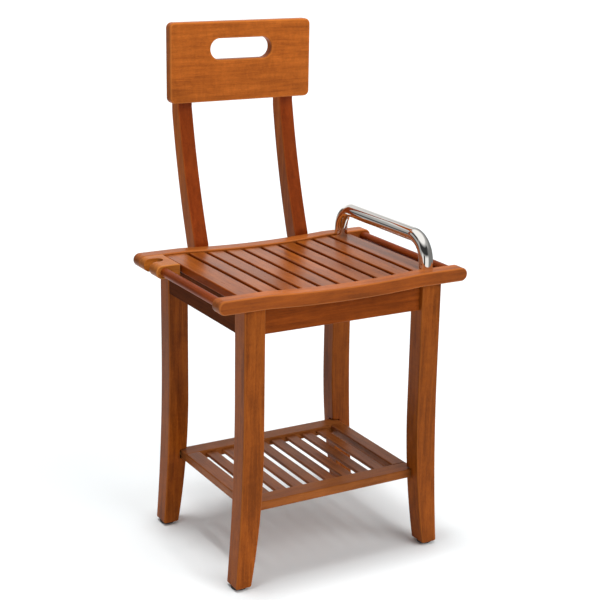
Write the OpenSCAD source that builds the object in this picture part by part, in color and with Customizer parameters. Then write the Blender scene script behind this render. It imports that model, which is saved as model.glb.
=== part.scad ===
// Teak shower chair: slatted saddle seat, raked back with a hand hole, slatted lower shelf,
// tubular grab handle, side bars, forked holder and screw-adjusted feet.
// Units are millimetres. X runs to the chair's right as seen from the front, Y to the back,
// Z up. The floor is z = 0 and the seat is centred on the origin.

/* [Seat] */
// Height of the seat rail tops above the floor, at the flat ends
seat_h = 460; // [400:1:520]
// Overall depth of the seat, front rail face to rear rail face
seat_depth = 304; // [280:1:340]
// Depth of a seat rail, front to back
rail_d = 25; // [22:0.5:32]
// Thickness of a seat rail
rail_t = 21; // [18:0.5:26]
// Edge rounding of a seat rail
rail_round = 2.5; // [1:0.1:4]
// Depth of the saddle at the middle of the seat
saddle_dip = 4.5; // [3:0.1:6]
// Distance from the middle of the seat to the start of the flat rail ends
saddle_half = 135; // [130:1:135]
// Radius that blends the saddle into the flat rail ends
saddle_blend = 150; // [100:10:250]

/* [Seat slats] */
// Spacing of the seat slats, centre to centre
slat_pitch = 32.65; // [31:0.05:33]
// Gap between two seat slats
slat_gap = 5.6; // [4:0.1:8]
// Width of the two outer seat slats
slat_end_w = 36.1; // [34:0.1:38]
// Thickness of a seat slat
slat_t = 13; // [10:0.5:15]
// Depth of the slat surface below the rail tops
slat_drop = 3; // [1:0.5:4]
// Edge rounding of a seat slat
slat_round = 2; // [0.5:0.1:3]
// Length of a slat tenon
slat_tenon_l = 6; // [4:0.5:7]
// Thickness of a slat tenon
slat_tenon_t = 7; // [5:0.5:8]
// Width of a tenon on the narrow slats
slat_tenon_w = 14; // [10:1:20]
// Width of a tenon on the two outer slats
slat_tenon_end_w = 26; // [22:1:30]

/* [Legs] */
// Width of a leg, side to side
leg_w = 34; // [32:0.5:38]
// Depth of a leg, front to back
leg_d = 32; // [30:0.5:36]
// Set-back of the legs from the outer faces of the seat rails
leg_set = 6.5; // [4:0.5:10]
// Height at which the outer face starts to sweep outward
sweep_out_h = 300; // [250:5:340]
// Sideways travel of the outer face at the foot
sweep_out = 12.5; // [6:0.5:16]
// Height at which the inner face starts to sweep outward
sweep_in_h = 234; // [200:1:280]
// Sideways travel of the inner face at the foot
sweep_in = 20.8; // [14:0.1:22]
// Thickness of the tenon that enters the seat rail
leg_tenon_t = 7; // [5:0.5:8]
// Width of the tenon that enters the seat rail
leg_tenon_w = 20; // [14:1:24]
// Height of the tenon that enters the seat rail
leg_tenon_h = 11; // [8:0.5:13]
// Distance from the leg's outer face to the tenon that enters the seat rail
leg_tenon_set = 2; // [1.5:0.5:4]

/* [Aprons] */
// Distance from the rail tops down to the lower edge of the aprons
apron_drop = 62; // [52:1:80]
// Thickness of the aprons
apron_t = 18; // [14:0.5:20]
// Set-back of the front apron from the front faces of the legs
apron_set = 7.5; // [5:0.5:10]
// Set-back of the side aprons from the outer faces of the legs
apron_side_set = 1; // [0.5:0.5:3]
// Length of an apron tenon
apron_tenon_l = 11; // [8:0.5:12]
// Thickness of an apron tenon
apron_tenon_t = 6; // [5:0.5:8]
// Height of the shoulder above and below an apron tenon
apron_shoulder = 8; // [5:0.5:12]
// Distance from a rear leg's rear face to the tenon of the rear apron
apron_tenon_set = 2.5; // [2:0.5:4]

/* [Back] */
// Distance of each back post from the middle of the chair
post_x = 92.5; // [80:0.5:105]
// Width of a back post
post_w = 25; // [20:0.5:30]
// Depth of a back post behind the panel
post_d_top = 25; // [22:0.5:28]
// Depth of a back post at its lower end
post_heel = 27; // [24:0.5:29]
// Radius of the front curve of a back post
post_front_r = 1262.5; // [1200:0.5:1500]
// Height of the centre of the front curve above the seat rails
post_front_rise = 444.4; // [400:0.2:500]
// Height of the upper end of the front curve above the seat rails
post_front_h = 194.4; // [180:0.2:200]
// Height of the straight slope above the front curve
post_slope_h = 19.8; // [15:0.2:22]
// Depth of the straight slope above the front curve
post_slope = 4; // [2:0.1:6]
// Radius of the rear curve of a back post
post_back_r = 1305; // [1250:1:1500]
// Height of the centre of the rear curve above the seat rails
post_back_rise = 420.4; // [400:0.2:450]
// Height of the upper end of the rear curve above the seat rails
post_back_h = 204.4; // [200:0.2:210]
// Distance from the panel's upper edge down to the top ends of the posts
post_top_drop = 17.5; // [8:0.5:30]
// Width of the back panel
panel_w = 252; // [230:1:270]
// Height of the back panel
panel_h = 126.5; // [110:0.5:140]
// Thickness of the back panel
panel_t = 18; // [15:0.5:22]
// Height of the panel's lower edge above the seat rails
panel_rise = 223; // [215:1:240]
// Corner radius of the back panel
panel_corner = 9; // [5:0.5:15]
// Edge rounding of the back panel
panel_round = 3; // [1:0.5:4]
// Overall width of the hand hole
hand_w = 110; // [90:1:130]
// Height of the hand hole
hand_h = 33.4; // [28:0.2:38]
// Distance from the panel's upper edge down to the middle of the hand hole
hand_drop = 43.5; // [35:0.5:60]

/* [Grab handle] */
// Outer diameter of the handle tube
tube_d = 22; // [18:0.5:25]
// Wall thickness of the handle tube
tube_wall = 1.5; // [1:0.1:2.5]
// Distance from the inner faces of the seat rails to the middles of the handle legs
handle_set = 2; // [0:0.5:4]
// Height of the tube centre line above the seat rails
handle_rise = 45; // [40:1:80]
// Bend radius of the tube centre line
handle_bend = 36; // [28:1:40]
// Diameter of a handle stud
handle_stud_d = 6; // [5:0.5:7]
// Height of the plug inside each end of the tube
plug_h = 12; // [8:1:20]

/* [Side bars and holder] */
// Diameter of the side bars
bar_d = 14; // [10:0.5:15]
// Distance of the side bars from the ends of the seat rails
bar_inset = 14; // [12:0.5:18]
// Depth of the socket for each end of a side bar
bar_socket = 10; // [6:0.5:14]
// Depth of the holder block, front to back
holder_d = 65.5; // [55:0.5:80]
// Length of the holder block, side to side, which sets the overhang of the seat rails
holder_l = 40; // [38:1:50]
// Gap between the holder block and the outer slat
holder_gap = 3.5; // [2:0.5:6]
// Width of the slot in the holder block
holder_slot_w = 20; // [16:0.5:26]
// Thickness of the rear prong of the holder block
holder_rear = 18; // [14:0.5:22]
// Length of the slot in the holder block
holder_slot_l = 27; // [20:0.5:30]

/* [Shelf] */
// Height of the top of the shelf frame above the floor
shelf_h = 129; // [110:1:160]
// Thickness of the shelf frame
shelf_t = 14; // [12:0.5:18]
// Sideways bite of the shelf corners into the legs, from the straight inner faces
shelf_bite_w = 14.5; // [12:0.5:16]
// Bite of the shelf corners into the legs, front and rear
shelf_bite_d = 11.5; // [10:0.5:13]
// Width of the front and rear shelf rails
shelf_rail_w = 30; // [24:0.5:36]
// Width of the two shelf end boards
shelf_end_w = 25; // [20:0.5:26]
// Width of a shelf slat
shelf_slat_w = 19.2; // [16:0.1:22]
// Thickness of a shelf slat
shelf_slat_t = 5; // [4:0.5:6]
// Depth of the shelf slats below the frame top
shelf_slat_drop = 4; // [2:0.5:5]
// Number of shelf slats
shelf_slats = 8; // [8:1:8]
// Length of the slat and end board tongues in the shelf rails
shelf_tongue = 8; // [5:0.5:10]
// Edge rounding of the shelf boards
shelf_round = 2; // [0.5:0.1:3]
// Edge rounding of the shelf slats
shelf_slat_round = 1.2; // [0.5:0.1:1.5]
// Shoulder beside each tongue of an end board
shelf_shoulder = 5; // [3:0.5:7]
// Clear space at the end of each leg notch
notch_gap = 2.5; // [1:0.5:4]
// Clear space above the shelf in each leg notch
notch_rise = 1.5; // [0.5:0.5:3]

/* [Adjustable feet] */
// Diameter of a foot pad
pad_d = 24; // [18:0.5:26]
// Thickness of a foot pad
pad_t = 4; // [3:0.5:6]
// Diameter of a foot stud
stud_d = 8; // [6:0.5:10]
// Chamfer under a foot pad
pad_chamfer = 1; // [0.5:0.1:1.5]
// Diameter of the hole under the stud for the hex key
key_hole_d = 5.5; // [5:0.1:6]
// Width across the corners of the hex key sockets
key_d = 4.6; // [4:0.1:5]
// Depth of the hex key socket in a foot stud
key_depth = 5; // [3:0.5:8]
// Thickness of the pad under the stud flange
pad_floor = 1.2; // [1:0.1:1.5]
// Length of a foot stud
stud_l = 24; // [20:1:30]
// Diameter of the stud flange held inside the pad
flange_d = 13; // [11:0.5:14]
// Thickness of the stud flange
flange_t = 1.2; // [0.8:0.1:1.4]
// Outer diameter of a foot insert
insert_d = 12; // [11:0.5:14]
// Length of a foot insert
insert_l = 16; // [12:1:20]
// Downward travel of a foot
foot_travel = 8; // [5:1:10]

/* [Fasteners] */
// Diameter of the post bolts
bolt_d = 6; // [5:0.5:8]
// Head diameter of the post bolts
bolt_head_d = 11; // [9:0.5:12]
// Head height of the post bolts
bolt_head_h = 3.5; // [2.5:0.5:5]
// Wood left under the head of a post bolt
bolt_bed = 12; // [8:0.5:14]
// Diameter of the threaded sleeves for the post bolts
sleeve_d = 9; // [8:0.5:10]
// Length of the threaded sleeves for the post bolts
sleeve_l = 14; // [10:0.5:15]
// Shank diameter of the panel screws
screw_d = 4; // [3:0.5:5]
// Head diameter of the panel screws
screw_head_d = 8; // [7:0.5:9]
// Length of the panel screws
screw_l = 38; // [34:1:40]
// Length of the point of a panel screw
screw_point = 4; // [2:0.5:6]
// Height of the lower panel screws above the panel's lower edge
screw_low = 22; // [15:0.5:35]
// Distance from the post tops down to the upper panel screws
screw_high = 20.5; // [12:0.5:30]
// Diameter of the shelf dowels
shelf_dowel_d = 6; // [5:0.5:8]
// Length of a shelf dowel inside the shelf rail
shelf_dowel_hold = 12; // [8:1:16]
// Length of a shelf dowel inside the leg
shelf_dowel_in = 10; // [6:1:12]
// Distance of the shelf dowels from the shelf's front and rear faces
shelf_dowel_set = 6; // [5:0.5:8]
// Diameter of the holder dowels
holder_dowel_d = 8; // [6:0.5:10]
// Length of a holder dowel inside the block
holder_dowel_hold = 13; // [8:1:14]
// Length of a holder dowel inside the seat rail
holder_dowel_in = 15; // [10:1:18]
// Distance of the holder dowels from the ends of the block
holder_dowel_set = 9; // [8:0.5:10]

/* [Fits] */
// Clearance on each side of a tenon
tenon_clear = 0.15; // [0.05:0.05:0.3]
// Clearance beyond the end of a tenon or dowel
end_clear = 0.5; // [0.3:0.1:1]
// Radial clearance of a fixed pin, dowel or sleeve
pin_clear = 0.1; // [0.05:0.05:0.2]
// Radial running clearance of a foot stud
run_clear = 0.05; // [0.03:0.01:0.1]
// Gap between a slat end and its rail
slat_clear = 0.2; // [0.1:0.1:0.5]
// Gap between the curved apron tops and the seat rails
apron_clear = 0.3; // [0.2:0.1:0.5]

/* [Hidden] */
$fn = 64;
big_fn = 720;
eps = 0.01;

// Seat: tangent arcs of the saddle, measured on the rail tops.
saddle_r = (saddle_half * saddle_half / saddle_dip + saddle_dip) / 2 - saddle_blend;
saddle_z = seat_h - saddle_dip + saddle_r;
blend_z = seat_h - saddle_blend;
rail_y = seat_depth / 2 - rail_d / 2;
rail_in_y = seat_depth / 2 - rail_d;
rail_low = seat_h - rail_t;
rail_mid_z = seat_h - rail_t / 2;
nose_r = rail_t / 2;
slat_w = slat_pitch - slat_gap;
slat_end_x = 4 * slat_pitch + slat_gap / 2 + slat_end_w / 2;
slat_top = seat_h - slat_drop;
slat_low = slat_top - slat_t;
rail_len = 2 * (slat_end_x + slat_end_w / 2 + holder_gap + holder_l);

// Legs, in the right rear quadrant, with their outer faces flush with the row of slats.
leg_out_x = slat_end_x + slat_end_w / 2;
leg_in_x = leg_out_x - leg_w;
leg_out_y = seat_depth / 2 - leg_set;
leg_in_y = leg_out_y - leg_d;
leg_low = pad_t;
leg_x = leg_out_x - leg_w / 2;
sweep_out_r = (sweep_out_h * sweep_out_h + sweep_out * sweep_out) / (2 * sweep_out);
sweep_in_r = (sweep_in_h * sweep_in_h + sweep_in * sweep_in) / (2 * sweep_in);
foot_x = leg_x + (sweep_out + sweep_in) / 2;
foot_y = (leg_out_y + leg_in_y) / 2;
leg_tenon_y = leg_out_y - leg_tenon_set - leg_tenon_t / 2;

// Aprons.
apron_low = seat_h - apron_drop;
apron_front_y = leg_out_y - apron_set - apron_t / 2;
apron_rear_y = seat_depth / 2 - apron_t / 2;
apron_rear_tenon_y = leg_out_y - apron_tenon_set - apron_tenon_t / 2;
apron_side_x = leg_out_x - apron_side_set - apron_t / 2;
apron_side_tenon_x = apron_side_x + 1;
apron_side_top = slat_low;
apron_tenon_low = apron_low + apron_shoulder;
apron_tenon_top = rail_low - apron_shoulder;

// Back posts: arc centres in the YZ plane, and the back panel that stands against the posts.
post_front_y = seat_depth / 2;
post_front_cy = post_front_y - sqrt(post_front_r * post_front_r - pow(post_front_rise, 2));
post_front_cz = seat_h + post_front_rise;
post_curve_y = post_front_cy
    + sqrt(post_front_r * post_front_r - pow(post_front_rise - post_front_h, 2));
post_curve_z = seat_h + post_front_h;
panel_back_y = post_curve_y + post_slope;
post_back_y = panel_back_y + post_d_top;
post_back_cy = post_back_y - sqrt(post_back_r * post_back_r - pow(post_back_rise - post_back_h, 2));
post_back_cz = seat_h + post_back_rise;
post_back_z = seat_h + post_back_h;
panel_y = panel_back_y - panel_t / 2;
panel_low = seat_h + panel_rise;
panel_z = panel_low + panel_h / 2;
hand_z = panel_low + panel_h - hand_drop;
post_top_z = panel_low + panel_h - post_top_drop;
bolt_z = [rail_mid_z, (apron_low + rail_low) / 2 - 2];
bolt_y = post_front_y + bolt_bed;
bolt_end_y = post_front_y - sleeve_l + 1;
screw_z = [panel_low + screw_low, post_top_z - screw_high];
screw_y = post_back_y;

// Grab handle.
handle_x = leg_x;
handle_span = 2 * (rail_in_y - handle_set);
handle_z = seat_h + handle_rise;
handle_stud_low = apron_tenon_low;
handle_stud_top = slat_top + plug_h - 1;

// Side bars and holder block.
bar_x = rail_len / 2 - bar_inset;
bar_z = rail_mid_z;
holder_left = -rail_len / 2;
holder_right = holder_left + holder_l;
holder_back = rail_in_y;
holder_front = holder_back - holder_d;
holder_slot_y = holder_back - holder_rear - holder_slot_w / 2;
holder_dowel_x = [holder_right - holder_dowel_set, holder_left + holder_dowel_set];

// Shelf.
shelf_w = 2 * (leg_in_x + shelf_bite_w);
shelf_d = 2 * (leg_in_y + shelf_bite_d);
shelf_low = shelf_h - shelf_t;
shelf_rail_in = shelf_d / 2 - shelf_rail_w;
shelf_end_in = shelf_w / 2 - shelf_end_w;
shelf_gap = (2 * shelf_end_in - shelf_slats * shelf_slat_w) / (shelf_slats + 1);
shelf_pitch = shelf_slat_w + shelf_gap;
shelf_slat_z = shelf_h - shelf_slat_drop - shelf_slat_t / 2;
shelf_dowel_z = shelf_h - shelf_t / 2;
shelf_dowel_y = shelf_d / 2 - shelf_dowel_set;

// Feet.
stud_low = pad_floor;
foot_bore_top = stud_low + stud_l + 3;

teak = [0.66, 0.36, 0.16];
teak_pale = [0.74, 0.46, 0.25];
teak_deep = [0.52, 0.27, 0.13];
chrome = [0.82, 0.83, 0.85];
steel = [0.62, 0.63, 0.65];
rubber = [0.12, 0.12, 0.12];

// Rectangle with rounded corners, centred.
module rounded(w, h, r) {
    square([w - 2 * r, h], center = true);
    square([w, h - 2 * r], center = true);
    for (sx = [-1, 1], sy = [-1, 1])
        translate([sx * (w / 2 - r), sy * (h / 2 - r)]) circle(r = r, $fn = 32);
}

// Box between two corners.
module span(a, b) {
    translate(a) cube(b - a);
}

// Cylinder along Y from y0 to y1.
module rod_y(x, z, y0, y1, r, fn = 64) {
    translate([x, y0, z]) rotate([-90, 0, 0]) cylinder(h = y1 - y0, r = r, $fn = fn);
}

// Cylinder along X from x0 to x1.
module rod_x(y, z, x0, x1, r, fn = 64) {
    translate([x0, y, z]) rotate([0, 90, 0]) cylinder(h = x1 - x0, r = r, $fn = fn);
}

// Children copied to the chosen quadrant from the right rear one.
module quadrant(sx, sy) {
    mirror([sx < 0 ? 1 : 0, 0, 0]) mirror([0, sy < 0 ? 1 : 0, 0]) children();
}

// Half of the rail section, swept round the end of a rail.
module nose_section() {
    translate([0, -rail_d / 2 + rail_round]) square([nose_r, rail_d - 2 * rail_round]);
    translate([0, -rail_d / 2]) square([nose_r - rail_round, rail_d]);
    for (s = [-1, 1])
        translate([nose_r - rail_round, s * (rail_d / 2 - rail_round)])
            circle(r = rail_round, $fn = 32);
}

// Ring with its axis along Y and a rounded section between two radii.
module rail_ring(x, z, r) {
    translate([x, 0, z]) rotate([90, 0, 0]) rotate_extrude($fn = big_fn)
        translate([r, 0]) rounded(rail_t, rail_d, rail_round);
}

// Prism along Y over a triangle in the XZ plane.
module wedge(a, b, c) {
    rotate([90, 0, 0]) linear_extrude(height = 2 * rail_d, center = true) polygon([a, b, c]);
}

// Rail bar bent to the saddle, with flat ends and half-round noses.
// Each pair of arcs meets on the line through their two centres.
module rail_bar() {
    intersection() {
        rail_ring(0, saddle_z, saddle_r + rail_t / 2);
        wedge([0, saddle_z], [saddle_half, blend_z], [-saddle_half, blend_z]);
    }
    for (s = [-1, 1]) {
        intersection() {
            rail_ring(s * saddle_half, blend_z, saddle_blend - rail_t / 2);
            wedge([0, saddle_z], [s * saddle_half, blend_z], [s * saddle_half, saddle_z]);
        }
        translate([s > 0 ? saddle_half : -rail_len / 2 + nose_r, 0, rail_mid_z])
            rotate([90, 0, 90])
                linear_extrude(height = rail_len / 2 - nose_r - saddle_half)
                    rounded(rail_d, rail_t, rail_round);
        translate([s * (rail_len / 2 - nose_r), 0, rail_mid_z]) rotate([90, 0, 0])
            rotate([0, 0, s > 0 ? -90 : 90])
                rotate_extrude(angle = 180, $fn = 64) nose_section();
    }
}

// Position of a seat slat along the saddle.
function slat_x(i) = i == 1 ? -slat_end_x : i == 10 ? slat_end_x : (i - 5.5) * slat_pitch;
function slat_a(i) = i == 1 || i == 10 ? 0 : asin(slat_x(i) / (saddle_r + slat_drop));

// Children moved to slat i, with the slat axis along Y and its middle at the origin.
module at_slat(i) {
    a = slat_a(i);
    reach = saddle_r + slat_drop + slat_t / 2;
    if (i == 1 || i == 10)
        translate([slat_x(i), 0, slat_top - slat_t / 2]) children();
    else
        translate([reach * sin(a), 0, saddle_z - reach * cos(a)]) rotate([0, -a, 0]) children();
}

function slat_tongue(i) = i == 1 || i == 10 ? slat_tenon_end_w : slat_tenon_w;

module seat_rail(sy) {
    color(teak_pale) difference() {
        translate([0, sy * rail_y, 0]) rail_bar();
        for (i = [1:10]) at_slat(i)
            translate([0, sy * (rail_in_y + (slat_tenon_l + end_clear - 1) / 2), 0])
                cube([slat_tongue(i) + 2 * tenon_clear, slat_tenon_l + end_clear + 1,
                    slat_tenon_t + 2 * tenon_clear], center = true);
        for (sx = [-1, 1]) quadrant(sx, sy)
            span([leg_x - leg_tenon_w / 2 - tenon_clear,
                  leg_tenon_y - leg_tenon_t / 2 - tenon_clear, rail_low - 1],
                 [leg_x + leg_tenon_w / 2 + tenon_clear,
                  leg_tenon_y + leg_tenon_t / 2 + tenon_clear, rail_low + leg_tenon_h + end_clear]);
        quadrant(1, sy) {
            translate([handle_x, handle_span / 2, slat_top])
                cylinder(h = slat_drop + 1, r = tube_d / 2 + pin_clear);
            translate([handle_x, handle_span / 2, rail_low - 1])
                cylinder(h = rail_t, r = handle_stud_d / 2 + pin_clear);
            rod_y(bar_x, bar_z, rail_in_y - 1, rail_in_y + bar_socket, bar_d / 2 + pin_clear);
        }
        if (sy < 0)
            quadrant(-1, sy)
                rod_y(bar_x, bar_z, rail_in_y - 1, rail_in_y + bar_socket, bar_d / 2 + pin_clear);
        else {
            for (x = holder_dowel_x)
                rod_y(x, rail_mid_z, rail_in_y - 1, rail_in_y + holder_dowel_in + end_clear,
                    holder_dowel_d / 2 + pin_clear);
            for (sx = [-1, 1])
                rod_y(sx * post_x, rail_mid_z, seat_depth / 2 - sleeve_l, seat_depth / 2 + 1,
                    sleeve_d / 2 + pin_clear);
        }
    }
}

module seat_slat(i) {
    w = i == 1 || i == 10 ? slat_end_w : slat_w;
    color(teak) difference() {
        at_slat(i) {
            rotate([90, 0, 0])
                linear_extrude(height = 2 * (rail_in_y - slat_clear), center = true)
                    rounded(w, slat_t, slat_round);
            cube([slat_tongue(i), 2 * (rail_in_y - slat_clear + slat_tenon_l), slat_tenon_t],
                center = true);
        }
        if (i == 10)
            for (s = [-1, 1])
                translate([handle_x, s * handle_span / 2, slat_low - 1])
                    cylinder(h = slat_t + 2, r = handle_stud_d / 2 + pin_clear);
    }
}

// Leg with straight top and outward sweep, in the right rear quadrant.
module leg_blank() {
    difference() {
        union() {
            span([leg_in_x, leg_in_y, sweep_in_h], [leg_out_x + sweep_out + 1, leg_out_y, slat_low]);
            intersection() {
                span([leg_in_x, leg_in_y, leg_low],
                     [leg_out_x + sweep_out + 1, leg_out_y, sweep_in_h]);
                rod_y(leg_in_x + sweep_in_r, sweep_in_h, leg_in_y - 1, leg_out_y + 1, sweep_in_r,
                    big_fn);
            }
        }
        span([leg_out_x, leg_in_y - 1, sweep_out_h], [leg_out_x + leg_w, leg_out_y + 1, slat_low + 1]);
        rod_y(leg_out_x + sweep_out_r, sweep_out_h, leg_in_y - 1, leg_out_y + 1, sweep_out_r, big_fn);
        span([leg_in_x - 1, rail_in_y, rail_low], [leg_out_x + 1, leg_out_y + 1, slat_low + 1]);
    }
    span([leg_x - leg_tenon_w / 2, leg_tenon_y - leg_tenon_t / 2, rail_low],
         [leg_x + leg_tenon_w / 2, leg_tenon_y + leg_tenon_t / 2, rail_low + leg_tenon_h]);
}

module leg(sx, sy) {
    apron_y = sy < 0 ? apron_front_y : apron_rear_tenon_y;
    color(teak) quadrant(sx, sy) difference() {
        leg_blank();
        span([leg_in_x - 1, apron_y - apron_tenon_t / 2 - tenon_clear,
              apron_tenon_low - tenon_clear],
             [leg_in_x + apron_tenon_l + end_clear, apron_y + apron_tenon_t / 2 + tenon_clear,
              apron_tenon_top + tenon_clear]);
        span([apron_side_tenon_x - apron_tenon_t / 2 - tenon_clear, leg_in_y - 1,
              apron_tenon_low - tenon_clear],
             [apron_side_tenon_x + apron_tenon_t / 2 + tenon_clear,
              leg_in_y + apron_tenon_l + end_clear, apron_tenon_top + tenon_clear]);
        span([leg_in_x - 2, leg_in_y - 1, shelf_low], [shelf_w / 2 + notch_gap,
              shelf_d / 2 + notch_gap, shelf_h + notch_rise]);
        rod_x(shelf_dowel_y, shelf_dowel_z, shelf_w / 2, shelf_w / 2 + notch_gap + shelf_dowel_in
              + end_clear, shelf_dowel_d / 2 + pin_clear);
        translate([foot_x, foot_y, leg_low - 1])
            cylinder(h = insert_l + 1, r = insert_d / 2 + pin_clear);
        translate([foot_x, foot_y, leg_low]) cylinder(h = foot_bore_top - leg_low,
            r = stud_d / 2 + 0.5);
        if (sx > 0)
            translate([handle_x, handle_span / 2, handle_stud_low - end_clear])
                cylinder(h = slat_low - handle_stud_low + 2, r = handle_stud_d / 2 + pin_clear);
    }
}

// Apron between two legs, with its top cut to the underside of the seat rail.
module cross_apron(y, tenon_y) {
    difference() {
        union() {
            span([-leg_in_x, y - apron_t / 2, apron_low],
                 [leg_in_x, y + apron_t / 2, rail_low - apron_clear]);
            span([-leg_in_x - apron_tenon_l, tenon_y - apron_tenon_t / 2, apron_tenon_low],
                 [leg_in_x + apron_tenon_l, tenon_y + apron_tenon_t / 2, apron_tenon_top]);
        }
        rod_y(0, saddle_z, y - apron_t, y + apron_t, saddle_r + rail_t + apron_clear, big_fn);
    }
}

module apron_rear_board() {
    difference() {
        cross_apron(apron_rear_y, apron_rear_tenon_y);
        for (sx = [-1, 1])
            rod_y(sx * post_x, bolt_z[1], seat_depth / 2 - sleeve_l, seat_depth / 2 + 1,
                sleeve_d / 2 + pin_clear);
    }
}

module apron_side(sx) {
    color(teak_deep) quadrant(sx, 1) {
        span([apron_side_x - apron_t / 2, -leg_in_y, apron_low],
             [apron_side_x + apron_t / 2, leg_in_y, apron_side_top]);
        span([apron_side_tenon_x - apron_tenon_t / 2, -leg_in_y - apron_tenon_l, apron_tenon_low],
             [apron_side_tenon_x + apron_tenon_t / 2, leg_in_y + apron_tenon_l, apron_tenon_top]);
    }
}

module side_bar(sx, y1) {
    color(teak_deep) rod_y(sx * bar_x, bar_z, -rail_in_y - bar_socket + end_clear, y1, bar_d / 2);
}

// Block with a rounded end like the seat rails and a slot open to the side.
module holder() {
    color(teak_pale) difference() {
        union() {
            rod_y(holder_left + nose_r, rail_mid_z, holder_front, holder_back, nose_r);
            span([holder_left + nose_r, holder_front, rail_low],
                 [holder_right, holder_back, seat_h]);
        }
        span([holder_left - 1, holder_slot_y - holder_slot_w / 2, rail_low - 1],
             [holder_left + holder_slot_l - holder_slot_w / 2, holder_slot_y + holder_slot_w / 2,
              seat_h + 1]);
        translate([holder_left + holder_slot_l - holder_slot_w / 2, holder_slot_y, rail_low - 1])
            cylinder(h = rail_t + 2, r = holder_slot_w / 2);
        rod_y(-bar_x, bar_z, holder_front - 1, holder_front + bar_socket, bar_d / 2 + pin_clear);
        for (x = holder_dowel_x)
            rod_y(x, rail_mid_z, holder_back - holder_dowel_hold - end_clear, holder_back + 1,
                holder_dowel_d / 2 + pin_clear);
    }
}

// Post outline swept across its width: upright heel, raked curve, upright head.
module post_blank() {
    difference() {
        union() {
            intersection() {
                rod_x(post_back_cy, post_back_cz, -post_w / 2, post_w / 2, post_back_r, big_fn);
                span([-post_w / 2, post_front_y, apron_low],
                     [post_w / 2, post_back_y + post_w, post_back_z]);
            }
            span([-post_w / 2, post_front_y, apron_low],
                 [post_w / 2, post_front_y + post_heel, rail_mid_z]);
            span([-post_w / 2, post_front_y, post_back_z], [post_w / 2, post_back_y, post_top_z]);
        }
        intersection() {
            rod_x(post_front_cy, post_front_cz, -post_w, post_w, post_front_r, big_fn);
            span([-post_w, post_front_y - 1, seat_h], [post_w, post_back_y, post_curve_z]);
        }
        rotate([90, 0, 90]) linear_extrude(height = 2 * post_w, center = true)
            polygon([[post_front_y - 1, post_curve_z], [post_curve_y, post_curve_z],
                [panel_back_y, post_curve_z + post_slope_h], [panel_back_y, post_top_z + 1],
                [post_front_y - 1, post_top_z + 1]]);
    }
}

module back_post(sx) {
    color(teak) translate([sx * post_x, 0, 0]) difference() {
        post_blank();
        for (z = bolt_z) {
            rod_y(0, z, post_front_y - 1, bolt_y + 1, bolt_d / 2 + 0.2);
            rod_y(0, z, bolt_y, bolt_y + post_heel, bolt_head_d / 2 + 1);
        }
        for (z = screw_z) {
            rod_y(0, z, panel_back_y - 1, screw_y + 1, screw_d / 2 + 0.2);
            translate([0, screw_y - screw_head_d / 2 + screw_d / 2, z]) rotate([-90, 0, 0])
                cylinder(h = screw_head_d / 2 - screw_d / 2 + eps, r1 = screw_d / 2 + 0.2,
                    r2 = screw_head_d / 2 + 0.2 + eps);
        }
    }
}

// Disc with rounded rims that forms one corner of the panel.
module panel_corner_disc() {
    rotate([90, 0, 0]) rotate_extrude($fn = 64) {
        translate([0, -panel_t / 2]) square([panel_corner - panel_round, panel_t]);
        translate([0, -panel_t / 2 + panel_round])
            square([panel_corner, panel_t - 2 * panel_round]);
        for (s = [-1, 1])
            translate([panel_corner - panel_round, s * (panel_t / 2 - panel_round)])
                circle(r = panel_round, $fn = 32);
    }
}

// Board with rounded corners and rounded edges, centred.
module panel_board() {
    for (sx = [-1, 1], sz = [-1, 1])
        translate([sx * (panel_w / 2 - panel_corner), 0, sz * (panel_h / 2 - panel_corner)])
            panel_corner_disc();
    linear_extrude(height = panel_h - 2 * panel_corner, center = true)
        rounded(panel_w, panel_t, panel_round);
    rotate([90, 0, 90]) linear_extrude(height = panel_w - 2 * panel_corner, center = true)
        rounded(panel_t, panel_h, panel_round);
}

module panel() {
    color(teak) difference() {
        translate([0, panel_y, panel_z]) panel_board();
        for (s = [-1, 1])
            rod_y(s * (hand_w - hand_h) / 2, hand_z, panel_y - panel_t, panel_y + panel_t,
                hand_h / 2);
        span([-(hand_w - hand_h) / 2, panel_y - panel_t, hand_z - hand_h / 2],
             [(hand_w - hand_h) / 2, panel_y + panel_t, hand_z + hand_h / 2]);
        for (sx = [-1, 1], z = screw_z)
            rod_y(sx * post_x, z, screw_y - screw_l - end_clear, panel_back_y + 1,
                screw_d / 2 + pin_clear);
    }
}

// Path of the handle tube, filled to radius r; low is the height of its lower ends.
module handle_path(r, low) {
    for (s = [-1, 1]) {
        translate([0, s * handle_span / 2, low]) cylinder(h = handle_z - handle_bend - low, r = r);
        translate([0, s * (handle_span / 2 - handle_bend), handle_z - handle_bend])
            rotate([0, 90, 0]) rotate([0, 0, s > 0 ? 90 : 180])
                rotate_extrude(angle = 90, $fn = 96) translate([handle_bend, 0]) circle(r = r);
    }
    rod_y(0, handle_z, -handle_span / 2 + handle_bend, handle_span / 2 - handle_bend, r);
}

module handle() {
    color(chrome) translate([handle_x, 0, 0]) difference() {
        handle_path(tube_d / 2, slat_top);
        handle_path(tube_d / 2 - tube_wall, slat_top - 1);
    }
}

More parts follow.
